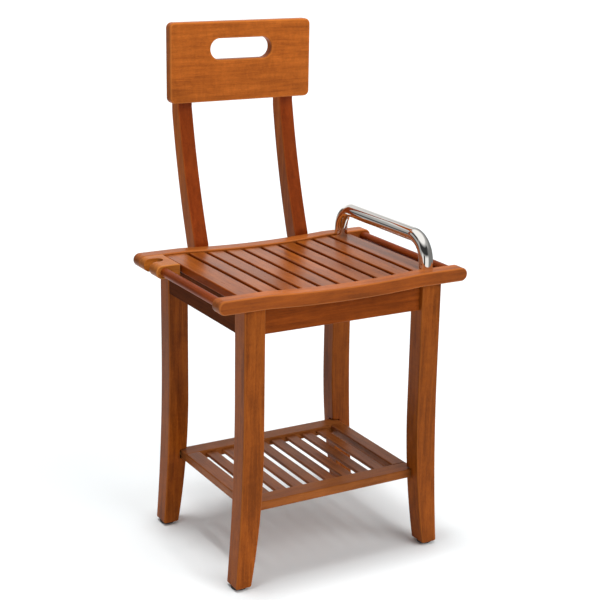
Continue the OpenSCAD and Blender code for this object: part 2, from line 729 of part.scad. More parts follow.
module shelf_rail(sy) {
    color(teak) quadrant(1, sy) difference() {
        translate([0, shelf_d / 2 - shelf_rail_w / 2, shelf_h - shelf_t / 2]) rotate([90, 0, 90])
            linear_extrude(height = shelf_w, center = true)
                rounded(shelf_rail_w, shelf_t, shelf_round);
        for (i = [1:shelf_slats])
            translate([shelf_x(i), shelf_rail_in + (shelf_tongue + end_clear - 1) / 2, shelf_slat_z])
                cube([shelf_slat_w + 2 * tenon_clear, shelf_tongue + end_clear + 1,
                    shelf_slat_t + 2 * tenon_clear], center = true);
        for (sx = [-1, 1]) {
            translate([sx * (shelf_end_in + shelf_end_w / 2),
                shelf_rail_in + (shelf_tongue + end_clear - 1) / 2, shelf_slat_z])
                cube([shelf_end_w - 2 * shelf_shoulder + 2 * tenon_clear, shelf_tongue + end_clear + 1,
                    shelf_slat_t + 2 * tenon_clear], center = true);
            quadrant(sx, 1) rod_x(shelf_dowel_y, shelf_dowel_z,
                shelf_w / 2 - shelf_dowel_hold - end_clear,
                shelf_w / 2 + 1, shelf_dowel_d / 2 + pin_clear);
        }
    }
}

function shelf_x(i) = (i - (shelf_slats + 1) / 2) * shelf_pitch;

module shelf_slat(i) {
    color(teak) translate([shelf_x(i), 0, shelf_slat_z]) rotate([90, 0, 0])
        linear_extrude(height = 2 * (shelf_rail_in + shelf_tongue), center = true)
            rounded(shelf_slat_w, shelf_slat_t, shelf_slat_round);
}

module shelf_end(sx) {
    color(teak_deep) translate([sx * (shelf_end_in + shelf_end_w / 2), 0, 0]) {
        translate([0, 0, shelf_h - shelf_t / 2]) rotate([90, 0, 0])
            linear_extrude(height = 2 * shelf_rail_in, center = true)
                rounded(shelf_end_w, shelf_t, shelf_round);
        translate([0, 0, shelf_slat_z])
            cube([shelf_end_w - 2 * shelf_shoulder, 2 * (shelf_rail_in + shelf_tongue), shelf_slat_t],
                center = true);
    }
}

module foot_pad(sx, sy) {
    color(rubber) translate([sx * foot_x, sy * foot_y, 0]) difference() {
        union() {
            cylinder(h = pad_chamfer, r1 = pad_d / 2 - pad_chamfer, r2 = pad_d / 2);
            translate([0, 0, pad_chamfer]) cylinder(h = pad_t - pad_chamfer, r = pad_d / 2);
        }
        translate([0, 0, stud_low]) cylinder(h = pad_t, r = stud_d / 2 + run_clear);
        translate([0, 0, stud_low]) cylinder(h = flange_t, r = flange_d / 2 + 0.3);
        translate([0, 0, -1]) cylinder(h = pad_t - 1, r = key_hole_d / 2);
    }
}

module foot_stud(sx, sy) {
    color(steel) translate([sx * foot_x, sy * foot_y, stud_low]) difference() {
        union() {
            cylinder(h = flange_t, r = flange_d / 2);
            cylinder(h = stud_l - 1, r = stud_d / 2);
            translate([0, 0, stud_l - 1]) cylinder(h = 1, r1 = stud_d / 2, r2 = stud_d / 2 - 1);
        }
        translate([0, 0, -1]) cylinder(h = key_depth + 1, r = key_d / 2, $fn = 6);
    }
}

module foot_inserts() {
    color(steel) for (sx = [-1, 1], sy = [-1, 1])
        translate([sx * foot_x, sy * foot_y, leg_low]) difference() {
            cylinder(h = insert_l, r = insert_d / 2);
            translate([0, 0, -1]) cylinder(h = insert_l + 2, r = stud_d / 2 + run_clear);
        }
}

module post_bolts() {
    color(steel) for (sx = [-1, 1], z = bolt_z) difference() {
        union() {
            rod_y(sx * post_x, z, bolt_end_y, bolt_y, bolt_d / 2);
            rod_y(sx * post_x, z, bolt_y, bolt_y + bolt_head_h, bolt_head_d / 2);
        }
        rod_y(sx * post_x, z, bolt_y + 1.5, bolt_y + bolt_head_h + 1, key_d / 2, 6);
    }
}

module post_sleeves() {
    color(steel) for (sx = [-1, 1], z = bolt_z) difference() {
        rod_y(sx * post_x, z, seat_depth / 2 - sleeve_l, seat_depth / 2, sleeve_d / 2);
        rod_y(sx * post_x, z, seat_depth / 2 - sleeve_l - 1, seat_depth / 2 + 1,
            bolt_d / 2 + pin_clear);
    }
}

module panel_screws() {
    cone = screw_head_d / 2 - screw_d / 2;
    color(steel) for (sx = [-1, 1], z = screw_z) difference() {
        union() {
            rod_y(sx * post_x, z, screw_y - screw_l + screw_point, screw_y - cone, screw_d / 2);
            translate([sx * post_x, screw_y - cone, z]) rotate([-90, 0, 0])
                cylinder(h = cone, r1 = screw_d / 2, r2 = screw_head_d / 2);
            translate([sx * post_x, screw_y - screw_l, z]) rotate([-90, 0, 0])
                cylinder(h = screw_point, r1 = 0.4, r2 = screw_d / 2);
        }
        rod_y(sx * post_x, z, screw_y - 1.6, screw_y + 1, 1.6, 6);
    }
}

module handle_plugs() {
    color(steel) for (s = [-1, 1])
        translate([handle_x, s * handle_span / 2, slat_top]) difference() {
            cylinder(h = plug_h, r = tube_d / 2 - tube_wall - pin_clear);
            translate([0, 0, -1]) cylinder(h = plug_h + 2, r = handle_stud_d / 2 + pin_clear);
        }
}

module handle_studs() {
    color(steel) for (s = [-1, 1])
        translate([handle_x, s * handle_span / 2, handle_stud_low])
            cylinder(h = handle_stud_top - handle_stud_low, r = handle_stud_d / 2);
}

module shelf_dowels() {
    color(teak_pale) for (sx = [-1, 1], sy = [-1, 1]) quadrant(sx, sy)
        rod_x(shelf_dowel_y, shelf_dowel_z, shelf_w / 2 - shelf_dowel_hold,
            shelf_w / 2 + notch_gap + shelf_dowel_in, shelf_dowel_d / 2);
}

module holder_dowels() {
    color(teak_pale) for (x = holder_dowel_x)
        rod_y(x, rail_mid_z, holder_back - holder_dowel_hold, holder_back + holder_dowel_in,
            holder_dowel_d / 2);
}

leg(-1, -1);  // leg_front_left
leg(1, -1);  // leg_front_right
leg(-1, 1);  // leg_rear_left
leg(1, 1);  // leg_rear_right
seat_rail(-1);  // seat_rail_front
seat_rail(1);  // seat_rail_rear
color(teak) cross_apron(-apron_front_y, -apron_front_y);  // apron_front
color(teak) apron_rear_board();  // apron_rear
apron_side(-1);  // apron_left
apron_side(1);  // apron_right
seat_slat(1);  // seat_slat_1
seat_slat(2);  // seat_slat_2
seat_slat(3);  // seat_slat_3
seat_slat(4);  // seat_slat_4
seat_slat(5);  // seat_slat_5
seat_slat(6);  // seat_slat_6
seat_slat(7);  // seat_slat_7
seat_slat(8);  // seat_slat_8
seat_slat(9);  // seat_slat_9
seat_slat(10);  // seat_slat_10
side_bar(-1, holder_front + bar_socket - end_clear);  // side_bar_left
side_bar(1, rail_in_y + bar_socket - end_clear);  // side_bar_right
holder();  // holder_block
back_post(-1);  // back_post_left
back_post(1);  // back_post_right
panel();  // back_panel
handle();  // grab_handle
handle_plugs();
handle_studs();
shelf_rail(-1);  // shelf_rail_front
shelf_rail(1);  // shelf_rail_rear
shelf_end(-1);  // shelf_end_left
shelf_end(1);  // shelf_end_right
shelf_slat(1);  // shelf_slat_1
shelf_slat(2);  // shelf_slat_2
shelf_slat(3);  // shelf_slat_3
shelf_slat(4);  // shelf_slat_4
shelf_slat(5);  // shelf_slat_5
shelf_slat(6);  // shelf_slat_6
shelf_slat(7);  // shelf_slat_7
shelf_slat(8);  // shelf_slat_8
post_bolts();
post_sleeves();
panel_screws();
shelf_dowels();
holder_dowels();
foot_inserts();
foot_pad(-1, -1);  // foot_pad_front_left
foot_pad(1, -1);  // foot_pad_front_right
foot_pad(-1, 1);  // foot_pad_rear_left
foot_pad(1, 1);  // foot_pad_rear_right
foot_stud(-1, -1);  // foot_stud_front_left
foot_stud(1, -1);  // foot_stud_front_right
foot_stud(-1, 1);  // foot_stud_rear_left
foot_stud(1, 1);  // foot_stud_rear_right
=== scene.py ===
"""Looks of the teak shower chair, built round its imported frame."""
import logging
import math
from dataclasses import dataclass, field
from enum import Enum
from typing import Dict, List, Optional, Sequence, Tuple

import bmesh
import bpy
from mathutils import Matrix, Vector


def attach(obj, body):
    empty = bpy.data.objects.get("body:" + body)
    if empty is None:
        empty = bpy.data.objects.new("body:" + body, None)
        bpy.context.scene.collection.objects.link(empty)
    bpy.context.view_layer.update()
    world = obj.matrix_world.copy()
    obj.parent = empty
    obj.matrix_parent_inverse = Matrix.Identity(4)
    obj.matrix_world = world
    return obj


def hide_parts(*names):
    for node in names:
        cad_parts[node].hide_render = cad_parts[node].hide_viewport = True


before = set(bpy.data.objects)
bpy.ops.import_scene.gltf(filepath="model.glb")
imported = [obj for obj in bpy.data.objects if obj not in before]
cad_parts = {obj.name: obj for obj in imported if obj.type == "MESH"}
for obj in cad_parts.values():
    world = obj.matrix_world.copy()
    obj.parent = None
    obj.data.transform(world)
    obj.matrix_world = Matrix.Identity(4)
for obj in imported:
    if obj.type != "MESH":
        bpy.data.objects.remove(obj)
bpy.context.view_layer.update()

log = logging.getLogger("teak_chair")

Point = Tuple[float, float]
Tint = Tuple[float, float, float]
Stop = Tuple[float, Tint]
Colour = Tuple[float, float, float, float]
Socket = bpy.types.NodeSocket
MM = 0.001
BODY = "frame"
PLAIN: Tint = (1.0, 1.0, 1.0)
WHITE: Colour = (*PLAIN, 1.0)
# Shared by the cutters, in millimetres: how far they run past the wood, and an arris that stays sharp.
PAST = 5.0
SHARP = 0.01
# Corners of an outline are this much rounder than its arrises, so that the inset never folds.
CORNER_OVER_RIM = 0.9
# Bed radius that makes a row of slats flat, in millimetres.
FLAT_BED = 1.0e6
# Points nearer than this are one, in metres.
WELD = 1e-6
# Shade of a board that is neither dark nor light.
EVEN = 0.5


def spaced(first: float, last: float, steps: int) -> List[float]:
    """Evenly spaced values with both ends included."""
    return [first + (last - first) * i / steps for i in range(steps + 1)]


def bearing(azimuth: float, elevation: float = 0.0) -> Vector:
    """Direction at degrees from the front (-Y) toward the right (+X) and above the horizon."""
    a, e = math.radians(azimuth), math.radians(elevation)
    return Vector((math.sin(a) * math.cos(e), -math.cos(a) * math.cos(e), math.sin(e)))


def placed(name: str, data: bpy.types.ID) -> bpy.types.Object:
    """Makes an object and links it to the scene.

    Args:
        name: Name of the object.
        data: Its mesh, light or camera.

    Returns:
        The object, at the origin.
    """
    made = bpy.data.objects.new(name, data)
    bpy.context.scene.collection.objects.link(made)
    return made


class Face(Enum):
    """Plane in which a board's outline is drawn."""

    XZ = "xz"
    YZ = "yz"
    XY = "xy"

    def place(self, u: float, v: float, w: float) -> Vector:
        """Turns an outline point and a depth into metres in the chair's frame.

        Args:
            u: First outline value in millimetres.
            v: Second outline value in millimetres.
            w: Depth along the board's thickness in millimetres.

        Returns:
            The point in metres.
        """
        if self is Face.XZ:
            return Vector((u, w, v)) * MM
        if self is Face.YZ:
            return Vector((w, u, v)) * MM
        return Vector((u, v, w)) * MM


class Grain(Enum):
    """Direction in which a board's grain runs."""

    ALONG_X = 0
    ALONG_Y = 1
    ALONG_Z = 2


class Half(Enum):
    """A half of the chair, with the sign of its coordinates."""

    @property
    def label(self) -> str:
        """The half's word in names."""
        return self.name.lower()

    def shade(self, swing: float) -> float:
        """Shade of a board that is lighter by a swing toward the right or the rear."""
        return EVEN + swing * self.value


class Side(Half):
    """Left or right half of the chair, seen from the front."""

    LEFT = -1
    RIGHT = 1


class End(Half):
    """Front or rear half of the chair."""

    FRONT = -1
    REAR = 1


@dataclass(frozen=True)
class ChairSizes:
    """Sizes that several sub-assemblies share, in millimetres."""

    seat_h: float = 460.0
    seat_depth: float = 304.0
    rail_len: float = 425.94
    rail_d: float = 25.0
    rail_t: float = 21.0
    saddle_dip: float = 4.5
    saddle_half: float = 135.0
    saddle_blend: float = 150.0
    slat_drop: float = 3.0
    slat_t: float = 13.0
    leg_out_x: float = 169.5
    leg_in_x: float = 135.5
    leg_out_y: float = 145.5
    leg_in_y: float = 113.5
    leg_low: float = 4.0
    apron_low: float = 398.0
    panel_back_y: float = 211.8
    post_x: float = 92.5
    shelf_h: float = 129.0
    shelf_t: float = 14.0

    @property
    def rail_low(self) -> float:
        """Underside of the flat rail ends."""
        return self.seat_h - self.rail_t

    @property
    def rail_mid_z(self) -> float:
        """Middle height of the flat rail ends."""
        return self.seat_h - self.rail_t / 2

    @property
    def slat_low(self) -> float:
        """Underside of the outer slats."""
        return self.seat_h - self.slat_drop - self.slat_t

    @property
    def rail_in_y(self) -> float:
        """Inner face of the seat rails."""
        return self.seat_depth / 2 - self.rail_d

    @property
    def saddle_r(self) -> float:
        """Radius of the saddle on the rail tops."""
        whole = (self.saddle_half ** 2 / self.saddle_dip + self.saddle_dip) / 2
        return whole - self.saddle_blend

    @property
    def saddle_z(self) -> float:
        """Height of the saddle's centre."""
        return self.seat_h - self.saddle_dip + self.saddle_r

    def rail_height(self, x: float, below: float) -> float:
        """Height of the rail's top, or of a line below it.

        Args:
            x: Distance from the middle of the seat.
            below: Depth below the top surface, measured square to it.

        Returns:
            The height in millimetres.
        """
        a = abs(x)
        blend = self.saddle_blend - below
        joint = self.saddle_half * (1 - blend / (self.saddle_r + self.saddle_blend))
        if a >= self.saddle_half:
            return self.seat_h - below
        if a >= joint:
            centre = self.seat_h - self.saddle_blend
            return centre + math.sqrt(blend ** 2 - (self.saddle_half - a) ** 2)
        return self.saddle_z - math.sqrt((self.saddle_r + below) ** 2 - a ** 2)


SIZES = ChairSizes()


def linear(code: str) -> Colour:
    """Turns a hex colour into the linear values that shaders take.

    Args:
        code: Six hex digits.

    Returns:
        Red, green, blue and alpha.
    """
    out = []
    for i in (0, 2, 4):
        c = int(code[i:i + 2], 16) / 255
        out.append(c / 12.92 if c <= 0.04045 else ((c + 0.055) / 1.055) ** 2.4)
    return (out[0], out[1], out[2], 1.0)


class NodeBench:
    """Short ways to add and join nodes in one tree."""

    def __init__(self, tree: bpy.types.NodeTree) -> None:
        """Keeps the tree.

        Args:
            tree: Shader or geometry tree to build in.
        """
        self.tree = tree

    def add(self, kind: str, values: Optional[Dict[object, object]] = None,
            **props: object) -> bpy.types.Node:
        """Adds a node.

        Args:
            kind: Node type name.
            values: Input name or index to a value or to a socket that feeds it.
            **props: Node properties.

        Returns:
            The new node.
        """
        node = self.tree.nodes.new(kind)
        for name, value in props.items():
            setattr(node, name, value)
        self.fill(node, values or {})
        return node

    def fill(self, node: bpy.types.Node, values: Dict[object, object]) -> None:
        """Sets or joins several inputs of a node, by name or index."""
        for key, value in values.items():
            self.give(node.inputs[key], value)

    def give(self, socket: Socket, value: object) -> None:
        """Sets a socket, or joins it to the socket that feeds it.

        Args:
            socket: Input of a node.
            value: Plain value, or the output that feeds it.
        """
        if isinstance(value, Socket):
            self.tree.links.new(value, socket)
        else:
            socket.default_value = value

    def feed(self, node: bpy.types.Node, name: str, value: object) -> None:
        """Sets or joins the enabled input of a name."""
        self.give(next(i for i in node.inputs if i.name == name and i.enabled), value)

    def math(self, operation: str, a: object, b: object = 0.0) -> Socket:
        """Adds a Math node and returns its output."""
        return self.add("ShaderNodeMath", {0: a, 1: b}, operation=operation).outputs[0]

    def times(self, a: object, b: object) -> Socket:
        """Returns the product of two values."""
        return self.math("MULTIPLY", a, b)

    def line(self, value: object, slope: float, start: float) -> Socket:
        """Returns value times slope plus start."""
        return self.add("ShaderNodeMath", {0: value, 1: slope, 2: start},
                        operation="MULTIPLY_ADD").outputs[0]

    def vector(self, x: object = 0.0, y: object = 0.0, z: object = 0.0) -> Socket:
        """Returns a vector made of three values."""
        return self.add("ShaderNodeCombineXYZ", {0: x, 1: y, 2: z}).outputs[0]

    def shift(self, operation: str, a: object, b: object) -> Socket:
        """Adds a Vector Math node and returns its vector."""
        return self.add("ShaderNodeVectorMath", {0: a, 1: b}, operation=operation).outputs[0]

    def dot(self, a: object, b: object) -> Socket:
        """Returns the dot product of two vectors."""
        return self.add("ShaderNodeVectorMath", {0: a, 1: b}, operation="DOT_PRODUCT").outputs["Value"]

    def apart(self, vector: object) -> Sequence[Socket]:
        """Returns the three parts of a vector."""
        return self.add("ShaderNodeSeparateXYZ", {0: vector}).outputs

    def degrees(self, operation: str, value: Socket) -> Socket:
        """Returns an inverse function of a value in degrees."""
        return self.times(self.math(operation, value), 180 / math.pi)

    def remap(self, value: Socket, source: Sequence[float], low: object, high: object,
              way: str = "SMOOTHSTEP") -> Socket:
        """Takes a value from a source range to another range, and holds it there."""
        return self.add("ShaderNodeMapRange", {0: value, 1: source[0], 2: source[1], 3: low, 4: high},
                        interpolation_type=way).outputs[0]

    def place(self, kind: str = "Object") -> Socket:
        """Returns texture coordinates."""
        return self.add("ShaderNodeTexCoord").outputs[kind]

    def stored(self, name: str) -> Socket:
        """Reads an attribute of the mesh."""
        return self.add("ShaderNodeAttribute", attribute_name=name).outputs["Fac"]

    def ramp(self, value: Socket, stops: Sequence[Tuple[float, Tuple[float, ...]]]) -> Socket:
        """Adds a colour ramp.

        Args:
            value: Socket that drives the ramp.
            stops: Positions and colours, from low to high.

        Returns:
            The ramp's colour output.
        """
        node = self.add("ShaderNodeValToRGB", {0: value})
        band = node.color_ramp
        while len(band.elements) < len(stops):
            band.elements.new(0.5)
        for element, (at, colour) in zip(band.elements, stops):
            element.position = at
            element.color = (*colour[:3], 1.0)
        return node.outputs[0]

    def noise(self, vector: Socket, scale: float, detail: float, rough: float,
              twist: float = 0.0) -> Socket:
        """Adds a noise texture and returns its factor."""
        return self.add("ShaderNodeTexNoise", {"Vector": vector, "Scale": scale, "Detail": detail,
                                               "Roughness": rough, "Distortion": twist}).outputs[0]

    def blend(self, share: object, low: object, high: object, mode: str = "MIX") -> Socket:
        """Mixes two colours and returns the result."""
        return self.add("ShaderNodeMix", {0: share, 6: low, 7: high}, data_type="RGBA",
                        blend_type=mode).outputs[2]


@dataclass(frozen=True)
class Finish:
    """A surface finish that makes its own material."""

    name: str

    def material(self) -> bpy.types.Material:
        """Makes the finish's material on first use.

        Returns:
            The material.
        """
        found = bpy.data.materials.get(self.name)
        if found is not None:
            return found
        made = bpy.data.materials.new(self.name)
        made.use_nodes = True
        bench = NodeBench(made.node_tree)
        self.paint(bench, made.node_tree.nodes["Principled BSDF"])
        return made

    def paint(self, bench: NodeBench, shader: bpy.types.Node) -> None:
        """Fills the tree; each finish has its own.

        Args:
            bench: Node helper on the material's tree.
            shader: The tree's main shader.
        """
        raise NotImplementedError

    @staticmethod
    def bump(bench: NodeBench, shader: bpy.types.Node, height: Socket, strength: float,
             depth: float) -> None:
        """Joins a height to the shader's normal.

        Args:
            bench: Node helper.
            shader: Shader that gets the bump.
            height: Height socket.
            strength: Share of the bump.
            depth: Depth in metres.
        """
        node = bench.add("ShaderNodeBump", {"Height": height, "Strength": strength, "Distance": depth})
        bench.tree.links.new(node.outputs[0], shader.inputs["Normal"])


class Layer(Enum):
    """Teak's noises: scales across and along the grain per metre, detail, roughness and twist."""

    WANDER = (16.0, 5.0, 2.0, 0.5, 0.0)
    STREAK = (260.0, 11.0, 4.0, 0.62, 0.3)
    FIBRE = (1100.0, 34.0, 3.0, 0.6, 0.0)
    PORES = (1900.0, 90.0, 2.0, 0.5, 0.0)
    MOTTLE = (45.0, 22.0, 3.0, 0.6, 0.4)
    CLOUD = (9.0, 5.0, 2.0, 0.5, 0.0)
    GRIT = (800.0, 260.0, 2.0, 0.5, 0.0)
    RIPPLE = (60.0, 130.0, 2.0, 0.6, 0.8)


@dataclass(frozen=True)
class TeakMix:
    """How teak's layers are mixed, the same for every board. A stop is a place on a ramp and its tint."""

    board_jump: float = 3.7
    band_scales: Point = (75.0, 4.0)
    band_noise: Tuple[float, float, float, float] = (1.3, 4.0, 0.6, 0.5)
    band_share: float = 0.34
    shares: Tuple[Tuple[Layer, float], ...] = (
        (Layer.STREAK, 0.20), (Layer.FIBRE, 0.16), (Layer.GRIT, 0.12), (Layer.MOTTLE, 0.18))
    steepness: float = 3.4
    tones: Tuple[Stop, ...] = ((0.08, (0.50, 0.42, 0.38)), (0.5, PLAIN), (0.92, (1.42, 1.58, 1.9)))
    cloud: Tuple[Stop, Stop] = ((0.32, (0.78, 0.78, 0.74)), (0.68, (1.18, 1.16, 1.12)))
    cloud_share: float = 0.8
    waves: Tuple[Stop, Stop] = ((0.35, (0.84, 0.82, 0.80)), (0.65, (1.12, 1.12, 1.12)))
    boards: Tuple[Stop, Stop] = ((0.0, (0.82, 0.78, 0.76)), (1.0, (1.16, 1.14, 1.10)))
    # Painted light and shade: where the side-face tint starts and where it is full on the facing ramp.
    side_shading_span: Point = (0.3, 0.8)
    ends: Tuple[Stop, Stop] = ((0.55, PLAIN), (0.95, (0.50, 0.46, 0.44)))
    pits: Tuple[Stop, Stop] = ((0.30, PLAIN), (0.42, (0.0, 0.0, 0.0)))
    pit_share: float = 0.5
    pit_tone: Tint = (0.42, 0.34, 0.5)
    # Painted highlight: share and tint that lighten the rounded arrises as if they caught the light.
    arris_highlight_share: float = 0.5
    arris_highlight_tone: Tint = (1.8, 2.4, 4.6)
    gloss_range: float = 0.16
    gloss_drop: float = 0.08
    specular: float = 0.5
    fibre_relief: float = 0.5
    pit_relief: float = 0.6
    bump_share: float = 0.3
    bump_depth: float = 0.0002


MIX = TeakMix()


@dataclass(frozen=True)
class TeakFinish(Finish):
    """Oiled teak with a satin sheen and its grain along one axis."""

    grain: Grain = Grain.ALONG_X
    tone: str = "8C450F"
    offset: Tint = (0.0, 0.0, 0.0)
    contrast: float = 1.0
    ripple: float = 0.0
    roughness: float = 0.34
    sheen_ior: float = 1.15
    per_board: float = 0.6
    end_grain: float = 0.8
    # Painted light and shade: tint of the faces that face the axis flank_step past the grain.
    side_shading: Tint = PLAIN
    side_shading_step: int = 1
    side_shading_dull: float = 0.0

    def stretched(self, bench: NodeBench, across: float, along: float, source: Socket) -> Socket:
        """Scales the coordinates across and along the grain.

        Args:
            bench: Node helper.
            across: Scale across the grain, per metre.
            along: Scale along the grain, per metre.
            source: Coordinates to scale.

        Returns:
            Scaled coordinates.
        """
        scale = [across] * 3
        scale[self.grain.value] = along
        return bench.add("ShaderNodeMapping", {"Vector": source, "Scale": scale,
                                               "Location": self.offset}).outputs[0]

    def layer(self, bench: NodeBench, kind: Layer, source: Socket) -> Socket:
        """Adds one of teak's noises and returns its factor."""
        across, along, *rest = kind.value
        return bench.noise(self.stretched(bench, across, along, source), 1.0, *rest)

    def shade(self, red: float, green: float, blue: float) -> Colour:
        """Returns the finish's tone with its three parts scaled."""
        tone = linear(self.tone)
        return (min(1.0, tone[0] * red), min(1.0, tone[1] * green), min(1.0, tone[2] * blue), 1.0)

    def figure(self, bench: NodeBench, moved: Socket, fibre: Socket) -> Socket:
        """Builds the wood's tone from its growth bands and finer layers.

        Args:
            bench: Node helper.
            moved: Coordinates of the board.
            fibre: Factor of the fibre layer.

        Returns:
            The tone.
        """
        wander = self.layer(bench, Layer.WANDER, moved)
        lanes = bench.shift("ADD", self.stretched(bench, *MIX.band_scales, moved),
                            bench.vector(wander, wander, wander))
        body = bench.times(bench.noise(lanes, *MIX.band_noise), MIX.band_share)
        for kind, share in MIX.shares:
            noise = fibre if kind is Layer.FIBRE else self.layer(bench, kind, moved)
            body = bench.math("ADD", body, bench.times(noise, share))
        spread = bench.line(bench.math("SUBTRACT", body, 0.5), MIX.steepness * self.contrast, 0.5)
        return bench.ramp(spread, [(at, self.shade(*tint)) for at, tint in MIX.tones])

    def paint(self, bench: NodeBench, shader: bpy.types.Node) -> None:
        """Builds growth bands, fibre streaks, mottling and pores, with a painted highlight on the rounded
        arrises and painted light and shade on side faces.

        Args:
            bench: Node helper on the material's tree.
            shader: The tree's main shader.
        """
        board, side_shading_mask = bench.stored("board"), bench.stored("side_shading")
        jump = bench.times(board, MIX.board_jump)
        moved = bench.shift("ADD", bench.place(), bench.vector(jump, jump, jump))
        fibre = self.layer(bench, Layer.FIBRE, moved)
        tone = self.figure(bench, moved, fibre)
        tints = [(MIX.cloud_share, self.layer(bench, Layer.CLOUD, moved), MIX.cloud)]
        if self.ripple:
            tints.append((self.ripple, self.layer(bench, Layer.RIPPLE, moved), MIX.waves))
        if self.per_board:
            tints.append((self.per_board, board, MIX.boards))
        # Painted light and shade: faces that face one side get their tint (lighter post sides, darker rail
        # fronts and slat sides), on the post sides partly the wood's own hue.
        tints.append((1.0, side_shading_mask, ((MIX.side_shading_span[0], PLAIN), (MIX.side_shading_span[1], self.side_shading))))
        tints.append((self.end_grain, bench.stored("end_grain"), MIX.ends))
        for share, value, stops in tints:
            tone = bench.blend(share, tone, bench.ramp(value, stops), "MULTIPLY")
        pit = bench.ramp(self.layer(bench, Layer.PORES, moved), MIX.pits)
        tone = bench.blend(bench.times(pit, MIX.pit_share), tone, self.shade(*MIX.pit_tone))
        # Painted highlight: the rounded arrises are lightened as if they caught the light.
        arris_highlight = bench.times(bench.stored("arris"), MIX.arris_highlight_share)
        tone = bench.blend(arris_highlight, tone, self.shade(*MIX.arris_highlight_tone))
        gloss = bench.line(fibre, MIX.gloss_range, self.roughness - MIX.gloss_drop)
        bench.fill(shader, {"Base Color": tone, "Roughness": gloss, "IOR": self.sheen_ior})
        if self.side_shading_dull:
            dull = bench.line(side_shading_mask, -MIX.specular * self.side_shading_dull, MIX.specular)
            bench.fill(shader, {"Specular IOR Level": dull})
        height = bench.math("SUBTRACT", bench.times(fibre, MIX.fibre_relief),
                            bench.times(pit, MIX.pit_relief))
        self.bump(bench, shader, height, MIX.bump_share, MIX.bump_depth)


@dataclass(frozen=True)
class MetalFinish(Finish):
    """Bare or plated metal with fine marks."""

    colour: str = "D9DADD"
    roughness: float = 0.05
    marks: float = 0.03
    stretch: Tint = (60.0, 60.0, 60.0)
    smear: Tuple[float, float, float, float] = (1.0, 4.0, 0.6, 0.8)
    glint: float = 1.08
    bump_share: float = 0.04
    bump_depth: float = 0.0001

    def paint(self, bench: NodeBench, shader: bpy.types.Node) -> None:
        """Builds a metal whose roughness varies with wiping or turning marks.

        Args:
            bench: Node helper on the material's tree.
            shader: The tree's main shader.
        """
        spot = bench.add("ShaderNodeMapping", {"Vector": bench.place(), "Scale": self.stretch}).outputs[0]
        smear = bench.noise(spot, *self.smear)
        plain = linear(self.colour)
        bright = [min(1.0, c * self.glint) for c in plain[:3]]
        bench.fill(shader, {"Base Color": bench.ramp(smear, ((0.3, plain), (0.8, bright))),
                            "Roughness": bench.line(smear, self.marks, self.roughness), "Metallic": 1.0})
        self.bump(bench, shader, smear, self.bump_share, self.bump_depth)


@dataclass(frozen=True)
class RubberFinish(Finish):
    """Dark moulded rubber."""

    colour: str = "1A1715"
    dust_colour: str = "3A3430"
    roughness: float = 0.55
    rough_range: float = 0.2
    bump_share: float = 0.3
    bump_depth: float = 0.0002

    def paint(self, bench: NodeBench, shader: bpy.types.Node) -> None:
        """Builds a matt surface with a moulded grain and some dust.

        Args:
            bench: Node helper on the material's tree.
            shader: The tree's main shader.
        """
        place = bench.place()
        grain = bench.noise(place, 2500.0, 2.0, 0.5)
        dust = bench.noise(place, 160.0, 3.0, 0.6)
        tone = bench.ramp(dust, ((0.35, linear(self.colour)), (0.85, linear(self.dust_colour))))
        bench.fill(shader, {"Base Color": tone,
                            "Roughness": bench.line(grain, self.rough_range, self.roughness)})
        self.bump(bench, shader, grain, self.bump_share, self.bump_depth)


